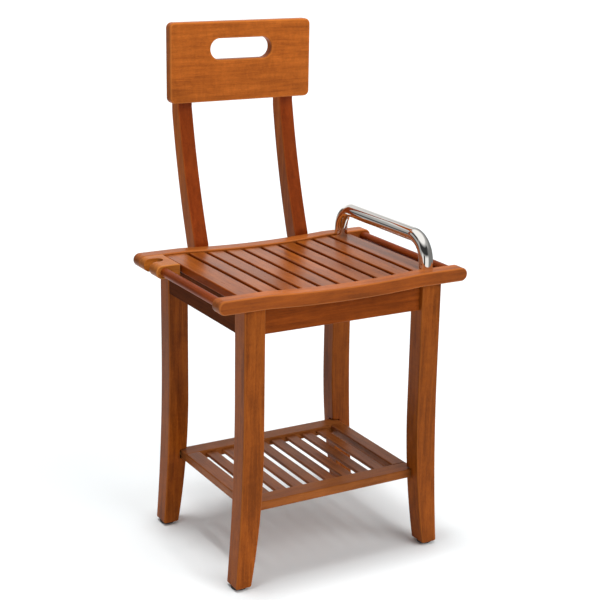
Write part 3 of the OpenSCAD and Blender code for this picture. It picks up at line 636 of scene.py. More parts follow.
@dataclass(frozen=True)
class Finishes:
    """Every finish on the chair."""

    # Partly painted light: the panel is lighter than the other teak for the stronger light it gets high up,
    # and partly a lighter board.
    panel: TeakFinish = TeakFinish("teak_panel", Grain.ALONG_X, "A35318", (0.3, 0.1, 0.7), 1.0, 0.7)
    # Painted shade: the rail fronts are darkened so that the tops look lit.
    rails: TeakFinish = TeakFinish("teak_rails", Grain.ALONG_X, "954C18", (1.3, 2.1, 0.2), 1.3, 0.0,
                                   0.34, 1.18, end_grain=1.0, side_shading=(0.64, 0.50, 0.21))
    aprons: TeakFinish = TeakFinish("teak_aprons", Grain.ALONG_X, "78350A", (2.3, 0.4, 3.2), 1.4, 0.0,
                                    0.34, 1.12)
    # Painted shade: the side aprons are much darker than the other teak, standing in for the shade they lie
    # in under the seat's edge.
    side_aprons: TeakFinish = TeakFinish("teak_side_aprons", Grain.ALONG_Y, "4E230B", (5.1, 0.4, 1.2), 1.0,
                                         0.0, 0.4, 1.04)
    legs: TeakFinish = TeakFinish("teak_legs", Grain.ALONG_Z, "86410F", (0.9, 4.1, 0.5), 1.5, 0.4)
    # Painted light: the post sides are lightened, partly the wood's own hue too.
    posts: TeakFinish = TeakFinish("teak_posts", Grain.ALONG_Z, "81340C", (4.4, 1.1, 2.5), 1.0, 0.2,
                                   0.36, 1.18, side_shading=(1.6, 2.7, 3.4))
    # Painted shade: the slat sides in the gaps between slats are darkened.
    slats: TeakFinish = TeakFinish("teak_slats", Grain.ALONG_Y, "8B4813", (0.4, 2.2, 4.5), 0.95, 0.0,
                                   0.30, 1.26, 0.5, side_shading=(0.85, 0.60, 0.40), side_shading_step=2, side_shading_dull=0.9)
    bars: TeakFinish = TeakFinish("teak_bars", Grain.ALONG_Y, "7C350E", (3.1, 0.2, 1.1))
    holder: TeakFinish = TeakFinish("teak_holder", Grain.ALONG_X, "A45C1F", (7.7, 3.3, 0.6), 0.8, 0.0,
                                    0.34, 1.16)
    shelf: TeakFinish = TeakFinish("teak_shelf", Grain.ALONG_X, "8A4B1C", (6.3, 5.1, 0.8), 1.0)
    shelf_slats: TeakFinish = TeakFinish("teak_shelf_slats", Grain.ALONG_Y, "884C20", (8.3, 1.5, 2.8), 1.0,
                                         0.0, 0.36, 1.22, 0.8)
    chrome: MetalFinish = MetalFinish("chrome_tube", "E6E3DE", 0.035, 0.03)
    steel: MetalFinish = MetalFinish("stainless_fastener", "A9ABAE", 0.24, 0.2, (300.0, 300.0, 1400.0))
    brass: MetalFinish = MetalFinish("brass_insert", "C09A4E", 0.28, 0.15, (900.0, 900.0, 300.0))
    beech: TeakFinish = TeakFinish("beech_dowel", Grain.ALONG_X, "C09663", (9.1, 0.3, 0.2), 0.5)
    rubber: RubberFinish = RubberFinish("rubber_pad")


FINISHES = Finishes()


class Outline:
    """Closed outlines for boards, all running anticlockwise."""

    SAME = 1e-4

    @staticmethod
    def arc(cx: float, cy: float, r: float, start: float, stop: float, steps: int) -> List[Point]:
        """Points on an arc.

        Args:
            cx: Centre's first value.
            cy: Centre's second value.
            r: Radius.
            start: First angle in degrees.
            stop: Last angle in degrees.
            steps: Number of chords.

        Returns:
            The points, both ends included.
        """
        turns = [math.radians(a) for a in spaced(start, stop, steps)]
        return [(cx + r * math.cos(a), cy + r * math.sin(a)) for a in turns]

    @staticmethod
    def box(us: Sequence[float], vs: Sequence[float]) -> List[Point]:
        """Rectangle between two pairs of values, each from low to high."""
        return [(us[0], vs[0]), (us[1], vs[0]), (us[1], vs[1]), (us[0], vs[1])]

    @classmethod
    def rounded_box(cls, cx: float, cy: float, w: float, h: float, r: float, steps: int) -> List[Point]:
        """Rectangle with rounded corners.

        Args:
            cx: Middle's first value.
            cy: Middle's second value.
            w: Width.
            h: Height.
            r: Corner radius.
            steps: Chords in each corner.

        Returns:
            The outline.
        """
        dx, dy = w / 2 - r, h / 2 - r
        out: List[Point] = []
        for sx, sy, a in ((1, 1, 0), (-1, 1, 90), (-1, -1, 180), (1, -1, 270)):
            out += cls.arc(cx + sx * dx, cy + sy * dy, r, a, a + 90, steps)
        return out

    @classmethod
    def stadium(cls, cx: float, cy: float, w: float, h: float, steps: int = 24) -> List[Point]:
        """Slot with round ends, given its middle, width and height."""
        r, dx = h / 2, (w - h) / 2
        return cls.arc(cx + dx, cy, r, -90, 90, steps) + cls.arc(cx - dx, cy, r, 90, 270, steps)

    @staticmethod
    def softened(points: Sequence[Point], radius: float, steps: int = 4, turn: float = 35.0) -> List[Point]:
        """Rounds the sharp corners of an outline.

        Args:
            points: Outline.
            radius: Corner radius.
            steps: Chords in each corner.
            turn: Least turn, in degrees, of a corner that is rounded.

        Returns:
            The new outline.
        """
        out: List[Point] = []
        n = len(points)
        for i in range(n):
            a, b, c = Vector(points[i - 1]), Vector(points[i]), Vector(points[(i + 1) % n])
            d0, d1 = (b - a).normalized(), (c - b).normalized()
            angle = math.acos(max(-1.0, min(1.0, d0.dot(d1))))
            if math.degrees(angle) < turn:
                out.append((b.x, b.y))
                continue
            cut = radius * math.tan(angle / 2)
            p0 = b - d0 * cut
            sign = 1.0 if d0.x * d1.y - d0.y * d1.x > 0 else -1.0
            centre = p0 + Vector((-d0.y, d0.x)) * radius * sign
            start = math.degrees(math.atan2(p0.y - centre.y, p0.x - centre.x))
            out += Outline.arc(centre.x, centre.y, radius, start, start + sign * math.degrees(angle), steps)
        return out

    @classmethod
    def tidy(cls, points: Sequence[Point]) -> List[Point]:
        """Drops repeated points.

        Args:
            points: Outline.

        Returns:
            The outline without them.
        """
        out: List[Point] = []
        for p in points:
            if not out or math.dist(p, out[-1]) > cls.SAME:
                out.append(p)
        if math.dist(out[0], out[-1]) < cls.SAME:
            out.pop()
        return out

    @staticmethod
    def inset(points: Sequence[Point], depth: float) -> List[Point]:
        """Moves an outline inwards.

        Args:
            points: Anticlockwise outline, or a clockwise one round a hole.
            depth: Distance into the wood.

        Returns:
            As many points, moved.
        """
        out = []
        n = len(points)
        for i in range(n):
            a, b, c = Vector(points[i - 1]), Vector(points[i]), Vector(points[(i + 1) % n])
            d0, d1 = (b - a).normalized(), (c - b).normalized()
            n0, n1 = Vector((-d0.y, d0.x)), Vector((-d1.y, d1.x))
            push = (n0 + n1) / max(0.2, 1 + n0.dot(n1))
            out.append((b.x + push.x * depth, b.y + push.y * depth))
        return out


class Shop:
    """The cutting and finishing that all pieces share."""

    # Painted arris highlight where a rounding meets the flat faces, weaker than on the rounding itself.
    ARRIS_HIGHLIGHT_EDGE = 0.35
    SMOOTH_TURN = 34.0

    @staticmethod
    def from_bmesh(name: str, bm: bmesh.types.BMesh) -> bpy.types.Object:
        """Makes an object of a finished bmesh.

        Args:
            name: Name of the piece.
            bm: Geometry, freed here.

        Returns:
            The object, at the origin.
        """
        mesh = bpy.data.meshes.new(name)
        bm.to_mesh(mesh)
        bm.free()
        return placed(name, mesh)

    @classmethod
    def slab(cls, name: str, outline: Sequence[Point], face: Face, low: float, high: float,
             rim: float, holes: Sequence[Sequence[Point]] = (), steps: int = 4) -> bpy.types.Object:
        """Cuts a board from an outline and rounds all its long arrises.

        Args:
            name: Name of the piece.
            outline: Anticlockwise outline in millimetres.
            face: Plane of the outline.
            low: Lower end of the thickness.
            high: Upper end of the thickness.
            rim: Radius of the rounded arrises.
            holes: Clockwise outlines of holes.
            steps: Rows of faces in a rounded arris.

        Returns:
            The board.
        """
        loops = [Outline.tidy(outline)] + [Outline.tidy(h) for h in holes]
        rows: List[Tuple[float, float, float]] = []
        for k in range(steps + 1):
            a = math.pi / 2 * (1 - k / steps)
            # Painted highlight strength of each row: full on the rounding, weaker at its two edges.
            arris_highlight = 1.0 if 0 < k < steps else cls.ARRIS_HIGHLIGHT_EDGE
            rows.append((low + rim * (1 - math.sin(a)), rim * (1 - math.cos(a)), arris_highlight))
        rows += [(low + high - w, d, e) for w, d, e in reversed(rows)]
        bm = bmesh.new()
        arris = bm.verts.layers.float.new("arris")
        ends: List[List[bmesh.types.BMEdge]] = [[], []]
        for loop in loops:
            grid = []
            for w, depth, arris_highlight in rows:
                ring = []
                for u, v in Outline.inset(loop, depth):
                    vert = bm.verts.new(face.place(u, v, w))
                    vert[arris] = arris_highlight
                    ring.append(vert)
                grid.append(ring)
            n = len(loop)
            for lower, upper in zip(grid, grid[1:]):
                for i in range(n):
                    j = (i + 1) % n
                    bm.faces.new((lower[i], lower[j], upper[j], upper[i]))
            for side, ring in enumerate((grid[0], grid[-1])):
                if len(loops) == 1:
                    bm.faces.new(ring)
                else:
                    ends[side] += [bm.edges.get((ring[i], ring[(i + 1) % n])) for i in range(n)]
        if len(loops) > 1:
            for edges in ends:
                bmesh.ops.triangle_fill(bm, use_beauty=True, use_dissolve=False, edges=edges)
        bmesh.ops.remove_doubles(bm, verts=bm.verts[:], dist=2 * WELD)
        bmesh.ops.recalc_face_normals(bm, faces=bm.faces[:])
        return cls.from_bmesh(name, bm)

    @classmethod
    def turned(cls, name: str, profile: Sequence[Point], centre: Vector, axis: Grain,
               steps: int = 48) -> bpy.types.Object:
        """Turns a closed piece round an axis.

        Args:
            name: Name of the piece.
            profile: Radius and height pairs from the lower to the upper pole.
            centre: Point on the axis, in millimetres.
            axis: Direction of the axis.
            steps: Faces round the piece.

        Returns:
            The turned piece.
        """
        bm = bmesh.new()
        arris = bm.verts.layers.float.new("arris")
        rows = []
        order = {Grain.ALONG_X: (2, 0, 1), Grain.ALONG_Y: (1, 2, 0), Grain.ALONG_Z: (0, 1, 2)}[axis]
        for radius, height in profile:
            ring = []
            for i in range(1 if radius < 1e-6 else steps):
                a = 2 * math.pi * i / steps
                local = (radius * math.cos(a), radius * math.sin(a), height)
                spot = Vector([local[order[k]] for k in range(3)])
                vert = bm.verts.new((centre + spot) * MM)
                vert[arris] = 0.0
                ring.append(vert)
            rows.append(ring)
        for lower, upper in zip(rows, rows[1:]):
            for i in range(steps):
                j = (i + 1) % steps
                if len(lower) == 1:
                    bm.faces.new((lower[0], upper[j], upper[i]))
                elif len(upper) == 1:
                    bm.faces.new((lower[i], lower[j], upper[0]))
                else:
                    bm.faces.new((lower[i], lower[j], upper[j], upper[i]))
        bmesh.ops.recalc_face_normals(bm, faces=bm.faces[:])
        return cls.from_bmesh(name, bm)

    @staticmethod
    def baked(piece: bpy.types.Object) -> bpy.types.Object:
        """Applies a piece's modifiers.

        Args:
            piece: Piece with live modifiers.

        Returns:
            The same piece with a plain mesh.
        """
        graph = bpy.context.evaluated_depsgraph_get()
        graph.update()
        made = bpy.data.meshes.new_from_object(piece.evaluated_get(graph), preserve_all_data_layers=True,
                                               depsgraph=graph)
        piece.modifiers.clear()
        old = piece.data
        piece.data = made
        made.name = piece.name
        if isinstance(old, bpy.types.Mesh):
            bpy.data.meshes.remove(old)
        return piece

    @classmethod
    def cut(cls, piece: bpy.types.Object, cutters: Sequence[bpy.types.Object]) -> bpy.types.Object:
        """Cuts other shapes out of a piece.

        Args:
            piece: Piece to cut.
            cutters: Shapes to take away, removed here.

        Returns:
            The piece.
        """
        for cutter in cutters:
            step = piece.modifiers.new("cut", "BOOLEAN")
            step.operation = "DIFFERENCE"
            step.solver = "EXACT"
            step.object = cutter
        cls.baked(piece)
        for cutter in cutters:
            bpy.data.objects.remove(cutter)
        return piece

    @staticmethod
    def mark(mesh: bpy.types.Mesh, finish: TeakFinish, board: Optional[float]) -> None:
        """Stores what a wood finish reads: the faces across the grain, the side faces that get painted light
        and shade, and the shade.

        Args:
            mesh: Finished mesh.
            finish: Wood finish that the mesh gets.
            board: Shade of the board from 0, dark, to 1, light, or None to keep what the mesh has.
        """
        along = finish.grain.value
        for name, axis in (("end_grain", along), ("side_shading", (along + finish.side_shading_step) % 3)):
            facing = mesh.attributes.new(name, "FLOAT", "CORNER")
            facing.data.foreach_set("value", [abs(n.vector[axis]) for n in mesh.corner_normals])
        if board is not None:
            shade = mesh.attributes.new("board", "FLOAT", "POINT")
            shade.data.foreach_set("value", [board] * len(mesh.vertices))

    @classmethod
    def fit(cls, piece: bpy.types.Object, finish: Finish, nodes: Sequence[str], slot: str = "teak",
            body: str = BODY, board: Optional[float] = None) -> bpy.types.Object:
        """Smooths, dresses and seats a finished piece.

        Args:
            piece: Piece in its place.
            finish: Its surface.
            nodes: Frame nodes that it stands for.
            slot: Material slot of the record; not used.
            body: Body that it rides on.
            board: Shade of a wooden piece from 0, dark, to 1, light.

        Returns:
            The piece.
        """
        mesh = piece.data
        mesh.shade_smooth()
        bm = bmesh.new()
        bm.from_mesh(mesh)
        limit = math.radians(cls.SMOOTH_TURN)
        for edge in bm.edges:
            edge.smooth = not (len(edge.link_faces) == 2 and edge.calc_face_angle(0.0) > limit)
        bm.to_mesh(mesh)
        bm.free()
        even = piece.modifiers.new("even", "WEIGHTED_NORMAL")
        even.keep_sharp = True
        even.weight = 100
        cls.baked(piece)
        if isinstance(finish, TeakFinish):
            cls.mark(piece.data, finish, board)
        piece.data.materials.clear()
        piece.data.materials.append(finish.material())
        for poly in piece.data.polygons:
            poly.material_index = 0
        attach(piece, body)
        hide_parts(*nodes)
        log.info("%s: %d faces, stands for %s", piece.name, len(piece.data.polygons), ", ".join(nodes))
        return piece


class GeometryTree:
    """Geometry tree with named inputs that is built once and baked into pieces."""

    NAME = ""
    OUTPUT = ""
    INPUTS: Tuple[Tuple[str, str], ...] = ()

    def __init__(self) -> None:
        """Makes the tree, its sockets, its shape and its end."""
        self.tree = bpy.data.node_groups.new(self.NAME, "GeometryNodeTree")
        face = self.tree.interface
        for name, kind in self.INPUTS:
            face.new_socket(name, in_out="INPUT", socket_type=f"NodeSocket{kind}")
        face.new_socket(self.OUTPUT, in_out="OUTPUT", socket_type="NodeSocketGeometry")
        bench = NodeBench(self.tree)
        given = bench.add("NodeGroupInput").outputs
        real = bench.add("GeometryNodeRealizeInstances", {"Geometry": self.shape(bench, given)}).outputs[0]
        done = bench.add("GeometryNodeSetMaterial", {"Geometry": real, "Material": given["Finish"]})
        bench.add("NodeGroupOutput", {0: done.outputs[0]})

    def shape(self, bench: NodeBench, given: Dict[str, Socket]) -> Socket:
        """Builds the shape; each tree has its own.

        Args:
            bench: Node helper.
            given: The tree's inputs by name.

        Returns:
            The shape's geometry.
        """
        raise NotImplementedError

    @staticmethod
    def fillet(bench: NodeBench, curve: Socket, count: int, radius: Socket) -> Socket:
        """Rounds a curve's corners with chords.

        Args:
            bench: Node helper.
            curve: Curve with corners.
            count: Points in each corner.
            radius: Corner radius.

        Returns:
            The rounded curve.
        """
        node = bench.add("GeometryNodeFilletCurve", {"Curve": curve})
        if hasattr(node, "mode"):
            node.mode = "POLY"
        else:
            node.inputs["Mode"].default_value = "Poly"
        bench.feed(node, "Count", count)
        bench.feed(node, "Radius", radius)
        return node.outputs[0]

    @staticmethod
    def extruded(bench: NodeBench, path: Socket, section: Socket) -> Socket:
        """Runs a section along a path and caps its ends."""
        return bench.add("GeometryNodeCurveToMesh", {"Curve": path, "Profile Curve": section,
                                                     "Fill Caps": True}).outputs[0]

    def applied(self, piece: bpy.types.Object, label: str, finish: Finish,
                values: Dict[str, object]) -> bpy.types.Object:
        """Runs the tree on a piece.

        Args:
            piece: Piece that gets the shape.
            label: Name of the modifier.
            finish: Its surface.
            values: Inputs by name: sizes as floats in millimetres, counts and seeds as whole numbers.

        Returns:
            The same piece with a plain mesh.
        """
        step = piece.modifiers.new(label, "NODES")
        step.node_group = self.tree
        given = {k: v * MM if isinstance(v, float) else v for k, v in values.items()}
        given["Finish"] = finish.material()
        for item in self.tree.interface.items_tree:
            if item.in_out == "INPUT" and item.name in given:
                step[item.identifier] = given[item.name]
        return Shop.baked(piece)


class SlatTree(GeometryTree):
    """Tree that lays a row of slats on a flat or a curved bed."""

    NAME = "slat_row"
    OUTPUT = "Slats"
    INPUTS = (("Count", "Int"), ("Pitch", "Float"), ("Width", "Float"), ("Thickness", "Float"),
              ("Length", "Float"), ("Arris", "Float"), ("Bed Radius", "Float"), ("Middle Height", "Float"),
              ("Seed", "Int"), ("Finish", "Material"))
    CHORDS = 4

    def shape(self, bench: NodeBench, given: Dict[str, Socket]) -> Socket:
        """Lays the slats.

        Args:
            bench: Node helper.
            given: The tree's inputs by name.

        Returns:
            The slats as instances, each with its shade.
        """
        section = bench.add("GeometryNodeCurvePrimitiveQuadrilateral",
                            {"Width": given["Width"], "Height": given["Thickness"]}).outputs[0]
        section = self.fillet(bench, section, self.CHORDS, given["Arris"])
        half = bench.times(given["Length"], 0.5)
        path = bench.add("GeometryNodeCurvePrimitiveLine", {
            "Start": bench.vector(y=bench.times(half, -1.0)), "End": bench.vector(y=half)}).outputs[0]
        board = bench.add("GeometryNodeMergeByDistance", {
            "Geometry": self.extruded(bench, path, section), "Distance": WELD}).outputs[0]
        reach = bench.times(bench.math("SUBTRACT", given["Count"], 1.0), given["Pitch"])
        row = bench.add("GeometryNodeMeshLine", {
            "Count": given["Count"], "Start Location": bench.vector(bench.times(reach, -0.5)),
            "Offset": bench.vector(given["Pitch"])}).outputs[0]
        across = bench.apart(bench.add("GeometryNodeInputPosition").outputs[0])[0]
        lean = bench.math("ARCSINE", bench.math("DIVIDE", across, given["Bed Radius"]))
        rise = bench.math("SUBTRACT", given["Bed Radius"],
                          bench.times(given["Bed Radius"], bench.math("COSINE", lean)))
        lift = bench.vector(z=bench.math("ADD", rise, given["Middle Height"]))
        lifted = bench.add("GeometryNodeSetPosition", {"Geometry": row, "Offset": lift}).outputs[0]
        turned = bench.vector(y=bench.times(lean, -1.0))
        laid = bench.add("GeometryNodeInstanceOnPoints", {"Points": lifted, "Instance": board,
                                                          "Rotation": turned}).outputs[0]
        chance = bench.add("FunctionNodeRandomValue", {"Seed": given["Seed"]}, data_type="FLOAT")
        named = bench.add("GeometryNodeStoreNamedAttribute", {"Geometry": laid, "Name": "board"},
                          data_type="FLOAT", domain="INSTANCE")
        bench.feed(named, "Value", next(o for o in chance.outputs if o.enabled and o.type == "VALUE"))
        return named.outputs[0]

    def row(self, name: str, finish: Finish, nodes: Sequence[str], values: Dict[str, object]) -> None:
        """Makes and seats one row of slats.

        Args:
            name: Name of the piece.
            finish: Its surface.
            nodes: Frame nodes that it stands for.
            values: Inputs by name, sizes in millimetres.
        """
        holder = placed(name, bpy.data.meshes.new(name))
        Shop.fit(self.applied(holder, "row", finish, values), finish, nodes)


class TubeTree(GeometryTree):
    """Tree that bends a tube along a cornered path."""

    NAME = "bent_tube"
    OUTPUT = "Tube"
    INPUTS = (("Path", "Geometry"), ("Bend Radius", "Float"), ("Tube Radius", "Float"),
              ("Finish", "Material"))
    CHORDS = 20
    SIDES = 64

    def shape(self, bench: NodeBench, given: Dict[str, Socket]) -> Socket:
        """Bends the tube.

        Args:
            bench: Node helper.
            given: The tree's inputs by name.

        Returns:
            The tube.
        """
        path = bench.add("GeometryNodeMeshToCurve", {"Mesh": given["Path"]}).outputs[0]
        bent = self.fillet(bench, path, self.CHORDS, given["Bend Radius"])
        circle = bench.add("GeometryNodeCurvePrimitiveCircle", {"Resolution": self.SIDES}).outputs[0]
        ring = bench.add("GeometryNodeTransform", {"Geometry": circle})
        bench.feed(ring, "Scale", bench.vector(given["Tube Radius"], given["Tube Radius"], 1.0))
        return self.extruded(bench, bent, ring.outputs[0])


@dataclass
class Seat:
    """Saddle rails, slats, side bars and holder block."""

    pitch: float = 32.65
    gap: float = 5.6
    end_w: float = 36.1
    arris: float = 2.0
    rim: float = 2.5
    bar_x: float = 199.0
    bar_r: float = 7.0
    holder_gap: float = 3.5
    holder_d: float = 65.5
    slot_w: float = 20.0
    slot_l: float = 27.0
    slot_rear: float = 18.0
    slot_over: float = 3.0
    slot_arris: float = 0.5
    holder_corner: float = 2.6
    holder_rim: float = 1.8
    holder_bevel: float = 0.9
    bevel_turn: float = 50.0
    bevel_steps: int = 3
    rail_steps: int = 60
    nose_steps: int = 18
    fork_steps: int = 24
    bar_steps: int = 12
    slat_clear: float = 0.2
    bar_tenon: float = 9.5
    slats: SlatTree = field(default_factory=SlatTree)

    @property
    def end_x(self) -> float:
        """Middle of the right outer slat."""
        return 4 * self.pitch + self.gap / 2 + self.end_w / 2

    def rail_outline(self) -> List[Point]:
        """Draws a seat rail from the side, with its half-round ends.

        Returns:
            The outline.
        """
        s = SIZES
        nose = s.rail_t / 2
        end = s.rail_len / 2 - nose
        n = self.rail_steps
        xs = [end * (i / n) for i in range(-n, n + 1)]
        low = [(x, s.rail_height(x, s.rail_t)) for x in xs]
        top = [(x, s.rail_height(x, 0.0)) for x in reversed(xs)]
        return (low[:-1] + Outline.arc(end, s.rail_mid_z, nose, -90, 90, self.nose_steps) + top[1:-1]
                + Outline.arc(-end, s.rail_mid_z, nose, 90, 270, self.nose_steps)[:-1])

    def rails(self) -> None:
        """Builds the front and rear rails."""
        s = SIZES
        for end in End:
            mid = end.value * (s.seat_depth / 2 - s.rail_d / 2)
            rail = Shop.slab(f"seat_rail_{end.label}", self.rail_outline(), Face.XZ,
                             mid - s.rail_d / 2, mid + s.rail_d / 2, self.rim)
            Shop.fit(rail, FINISHES.rails, [f"seat_rail_{end.label}"], board=end.shade(-0.1))

    def boards(self) -> None:
        """Lays the ten slats."""
        s = SIZES
        middle = s.slat_drop + s.slat_t / 2
        common = {"Thickness": s.slat_t, "Length": 2 * (s.rail_in_y - self.slat_clear), "Arris": self.arris}
        self.slats.row("seat_slats_inner", FINISHES.slats, [f"seat_slat_{i}" for i in range(2, 10)], {
            **common, "Count": 8, "Pitch": self.pitch, "Width": self.pitch - self.gap, "Seed": 4,
            "Bed Radius": s.saddle_r + middle, "Middle Height": s.seat_h - s.saddle_dip - middle})
        self.slats.row("seat_slats_outer", FINISHES.slats, ["seat_slat_1", "seat_slat_10"], {
            **common, "Count": 2, "Pitch": 2 * self.end_x, "Width": self.end_w, "Seed": 11,
            "Bed Radius": FLAT_BED, "Middle Height": s.seat_h - middle})

    def bars(self) -> None:
        """Turns the two side bars."""
        s = SIZES
        front = -s.rail_in_y - self.bar_tenon
        stops = {Side.LEFT: s.rail_in_y - self.holder_d + self.bar_tenon,
                 Side.RIGHT: s.rail_in_y + self.bar_tenon}
        for side, rear in stops.items():
            wall = [(self.bar_r, y) for y in spaced(front, rear, self.bar_steps)]
            profile = [(0.0, front)] + wall + [(0.0, rear)]
            name = f"side_bar_{side.label}"
            centre = Vector((side.value * self.bar_x, 0, s.rail_mid_z))
            bar = Shop.turned(name, profile, centre, Grain.ALONG_Y)
            Shop.fit(bar, FINISHES.bars, [name], board=side.shade(0.1))

    def holder(self) -> None:
        """Cuts the forked holder block."""
        s = SIZES
        nose = s.rail_t / 2
        left = -s.rail_len / 2
        right = -(4 * self.pitch + self.gap / 2 + self.end_w + self.holder_gap)
        outline = (Outline.arc(left + nose, s.rail_mid_z, nose, 90, 270, self.nose_steps)
                   + [(right, s.rail_low), (right, s.seat_h)])
        outline = Outline.softened(outline, self.holder_corner)
        block = Shop.slab("holder_block", outline, Face.XZ, s.rail_in_y - self.holder_d, s.rail_in_y,
                          self.holder_rim)
        mid = s.rail_in_y - self.slot_rear - self.slot_w / 2
        r = self.slot_w / 2
        fork = Outline.arc(left + self.slot_l - r, mid, r, -90, 90, self.fork_steps)
        slot = [(left - PAST, mid - r)] + fork + [(left - PAST, mid + r)]
        cutter = Shop.slab("slot_cutter", slot, Face.XY, s.rail_low - self.slot_over,
                           s.seat_h + self.slot_over, self.slot_arris)
        Shop.cut(block, [cutter])
        soft = block.modifiers.new("soft", "BEVEL")
        soft.width = self.holder_bevel * MM
        soft.segments = self.bevel_steps
        soft.limit_method = "ANGLE"
        soft.angle_limit = math.radians(self.bevel_turn)
        Shop.baked(block)
        Shop.fit(block, FINISHES.holder, ["holder_block"], board=EVEN)

    def build(self) -> None:
        """Builds the whole seat."""
        self.rails()
        self.boards()
        self.bars()
        self.holder()


@dataclass
class Stand:
    """Legs and aprons."""

    sweep_out: float = 12.5
    sweep_out_h: float = 300.0
    sweep_in: float = 20.8
    sweep_in_h: float = 234.0
    rim: float = 2.2
    shoulder_half: float = 200.0
    leg_steps: int = 44
    apron_steps: int = 48
    apron_rim: float = 1.2
    apron_gap: float = 0.3
    apron_t: float = 18.0
    apron_set: float = 7.5
    side_set: float = 1.0
    notch_x: float = 152.5
    notch_y: float = 127.5
    notch_rise: float = 1.5
    shades: Dict[Tuple[Side, End], float] = field(default_factory=lambda: {
        (Side.LEFT, End.FRONT): 0.7, (Side.RIGHT, End.FRONT): 0.35,
        (Side.LEFT, End.REAR): 0.05, (Side.RIGHT, End.REAR): 0.2})

    @staticmethod
    def swept(z: float, height: float, travel: float) -> float:
        """Outward travel of a leg face on its arc.

        Args:
            z: Height above the floor.
            height: Height at which the arc starts.
            travel: Travel at the floor.

        Returns:
            The travel at z.
        """
        if z >= height:
            return 0.0
        r = (height ** 2 + travel ** 2) / (2 * travel)
        return r - math.sqrt(r ** 2 - (height - z) ** 2)

    def leg_outline(self) -> List[Point]:
        """Draws the right leg from the front.

        Returns:
            The outline.
        """
        s = SIZES
        zs = spaced(s.leg_low, s.slat_low, self.leg_steps)
        outer = [(s.leg_out_x + self.swept(z, self.sweep_out_h, self.sweep_out), z) for z in zs]
        inner = [(s.leg_in_x + self.swept(z, self.sweep_in_h, self.sweep_in), z) for z in reversed(zs)]
        return Outline.softened(outer + inner, self.rim + CORNER_OVER_RIM)

    def notches(self, side: Side, end: End) -> List[bpy.types.Object]:
        """Makes the cutters for a leg's notch round the shelf and its shoulder under the seat rail.

        Args:
            side: Left or right.
            end: Front or rear.

        Returns:
            The two cutters.
        """
        s = SIZES
        xs = sorted((side.value * (s.leg_in_x - PAST), side.value * self.notch_x))
        ys = sorted((end.value * (s.leg_in_y - PAST), end.value * self.notch_y))
        notch = Shop.slab("notch_cutter", Outline.box(xs, ys), Face.XY, s.shelf_h - s.shelf_t,
                          s.shelf_h + self.notch_rise, SHARP, steps=1)
        ys = sorted((end.value * s.rail_in_y, end.value * (s.leg_out_y + PAST)))
        under = Outline.box((-self.shoulder_half, self.shoulder_half), ys)
        shoulder = Shop.slab("shoulder_cutter", under, Face.XY, s.rail_low, s.slat_low + PAST, SHARP, steps=1)
        return [notch, shoulder]

    def legs(self) -> None:
        """Cuts the four legs and their notches."""
        s = SIZES
        for side in Side:
            outline = [(side.value * x, z) for x, z in self.leg_outline()][::side.value]
            for end in End:
                lo, hi = sorted((end.value * s.leg_in_y, end.value * s.leg_out_y))
                name = f"leg_{end.label}_{side.label}"
                leg = Shop.slab(name, outline, Face.XZ, lo, hi, self.rim)
                Shop.cut(leg, self.notches(side, end))
                Shop.fit(leg, FINISHES.legs, [name], board=self.shades[(side, end)])

    def board(self, name: str, outline: Sequence[Point], face: Face, mid: float, finish: Finish,
              shade: float) -> None:
        """Cuts and seats one apron.

        Args:
            name: Name of the piece.
            outline: Anticlockwise outline.
            face: Plane of the outline.
            mid: Middle of its thickness.
            finish: Its surface.
            shade: Shade from 0, dark, to 1, light.
        """
        half = self.apron_t / 2
        made = Shop.slab(name, outline, face, mid - half, mid + half, self.apron_rim)
        Shop.fit(made, finish, [name], board=shade)

    def aprons(self) -> None:
        """Cuts the four aprons."""
        s = SIZES
        xs = spaced(-s.leg_in_x, s.leg_in_x, self.apron_steps)
        top = [(x, s.rail_height(x, s.rail_t) - self.apron_gap) for x in reversed(xs)]
        outline = [(-s.leg_in_x, s.apron_low), (s.leg_in_x, s.apron_low)] + top
        mids = {End.FRONT: -(s.leg_out_y - self.apron_set - self.apron_t / 2),
                End.REAR: s.seat_depth / 2 - self.apron_t / 2}
        for end, mid in mids.items():
            self.board(f"apron_{end.label}", outline, Face.XZ, mid, FINISHES.aprons, end.shade(-0.1))
        box = Outline.box((-s.leg_in_y, s.leg_in_y), (s.apron_low, s.slat_low))
        for side in Side:
            mid = side.value * (s.leg_out_x - self.side_set - self.apron_t / 2)
            self.board(f"apron_{side.label}", box, Face.YZ, mid, FINISHES.side_aprons, side.shade(0.1))

    def build(self) -> None:
        """Builds the stand."""
        self.legs()
        self.aprons()


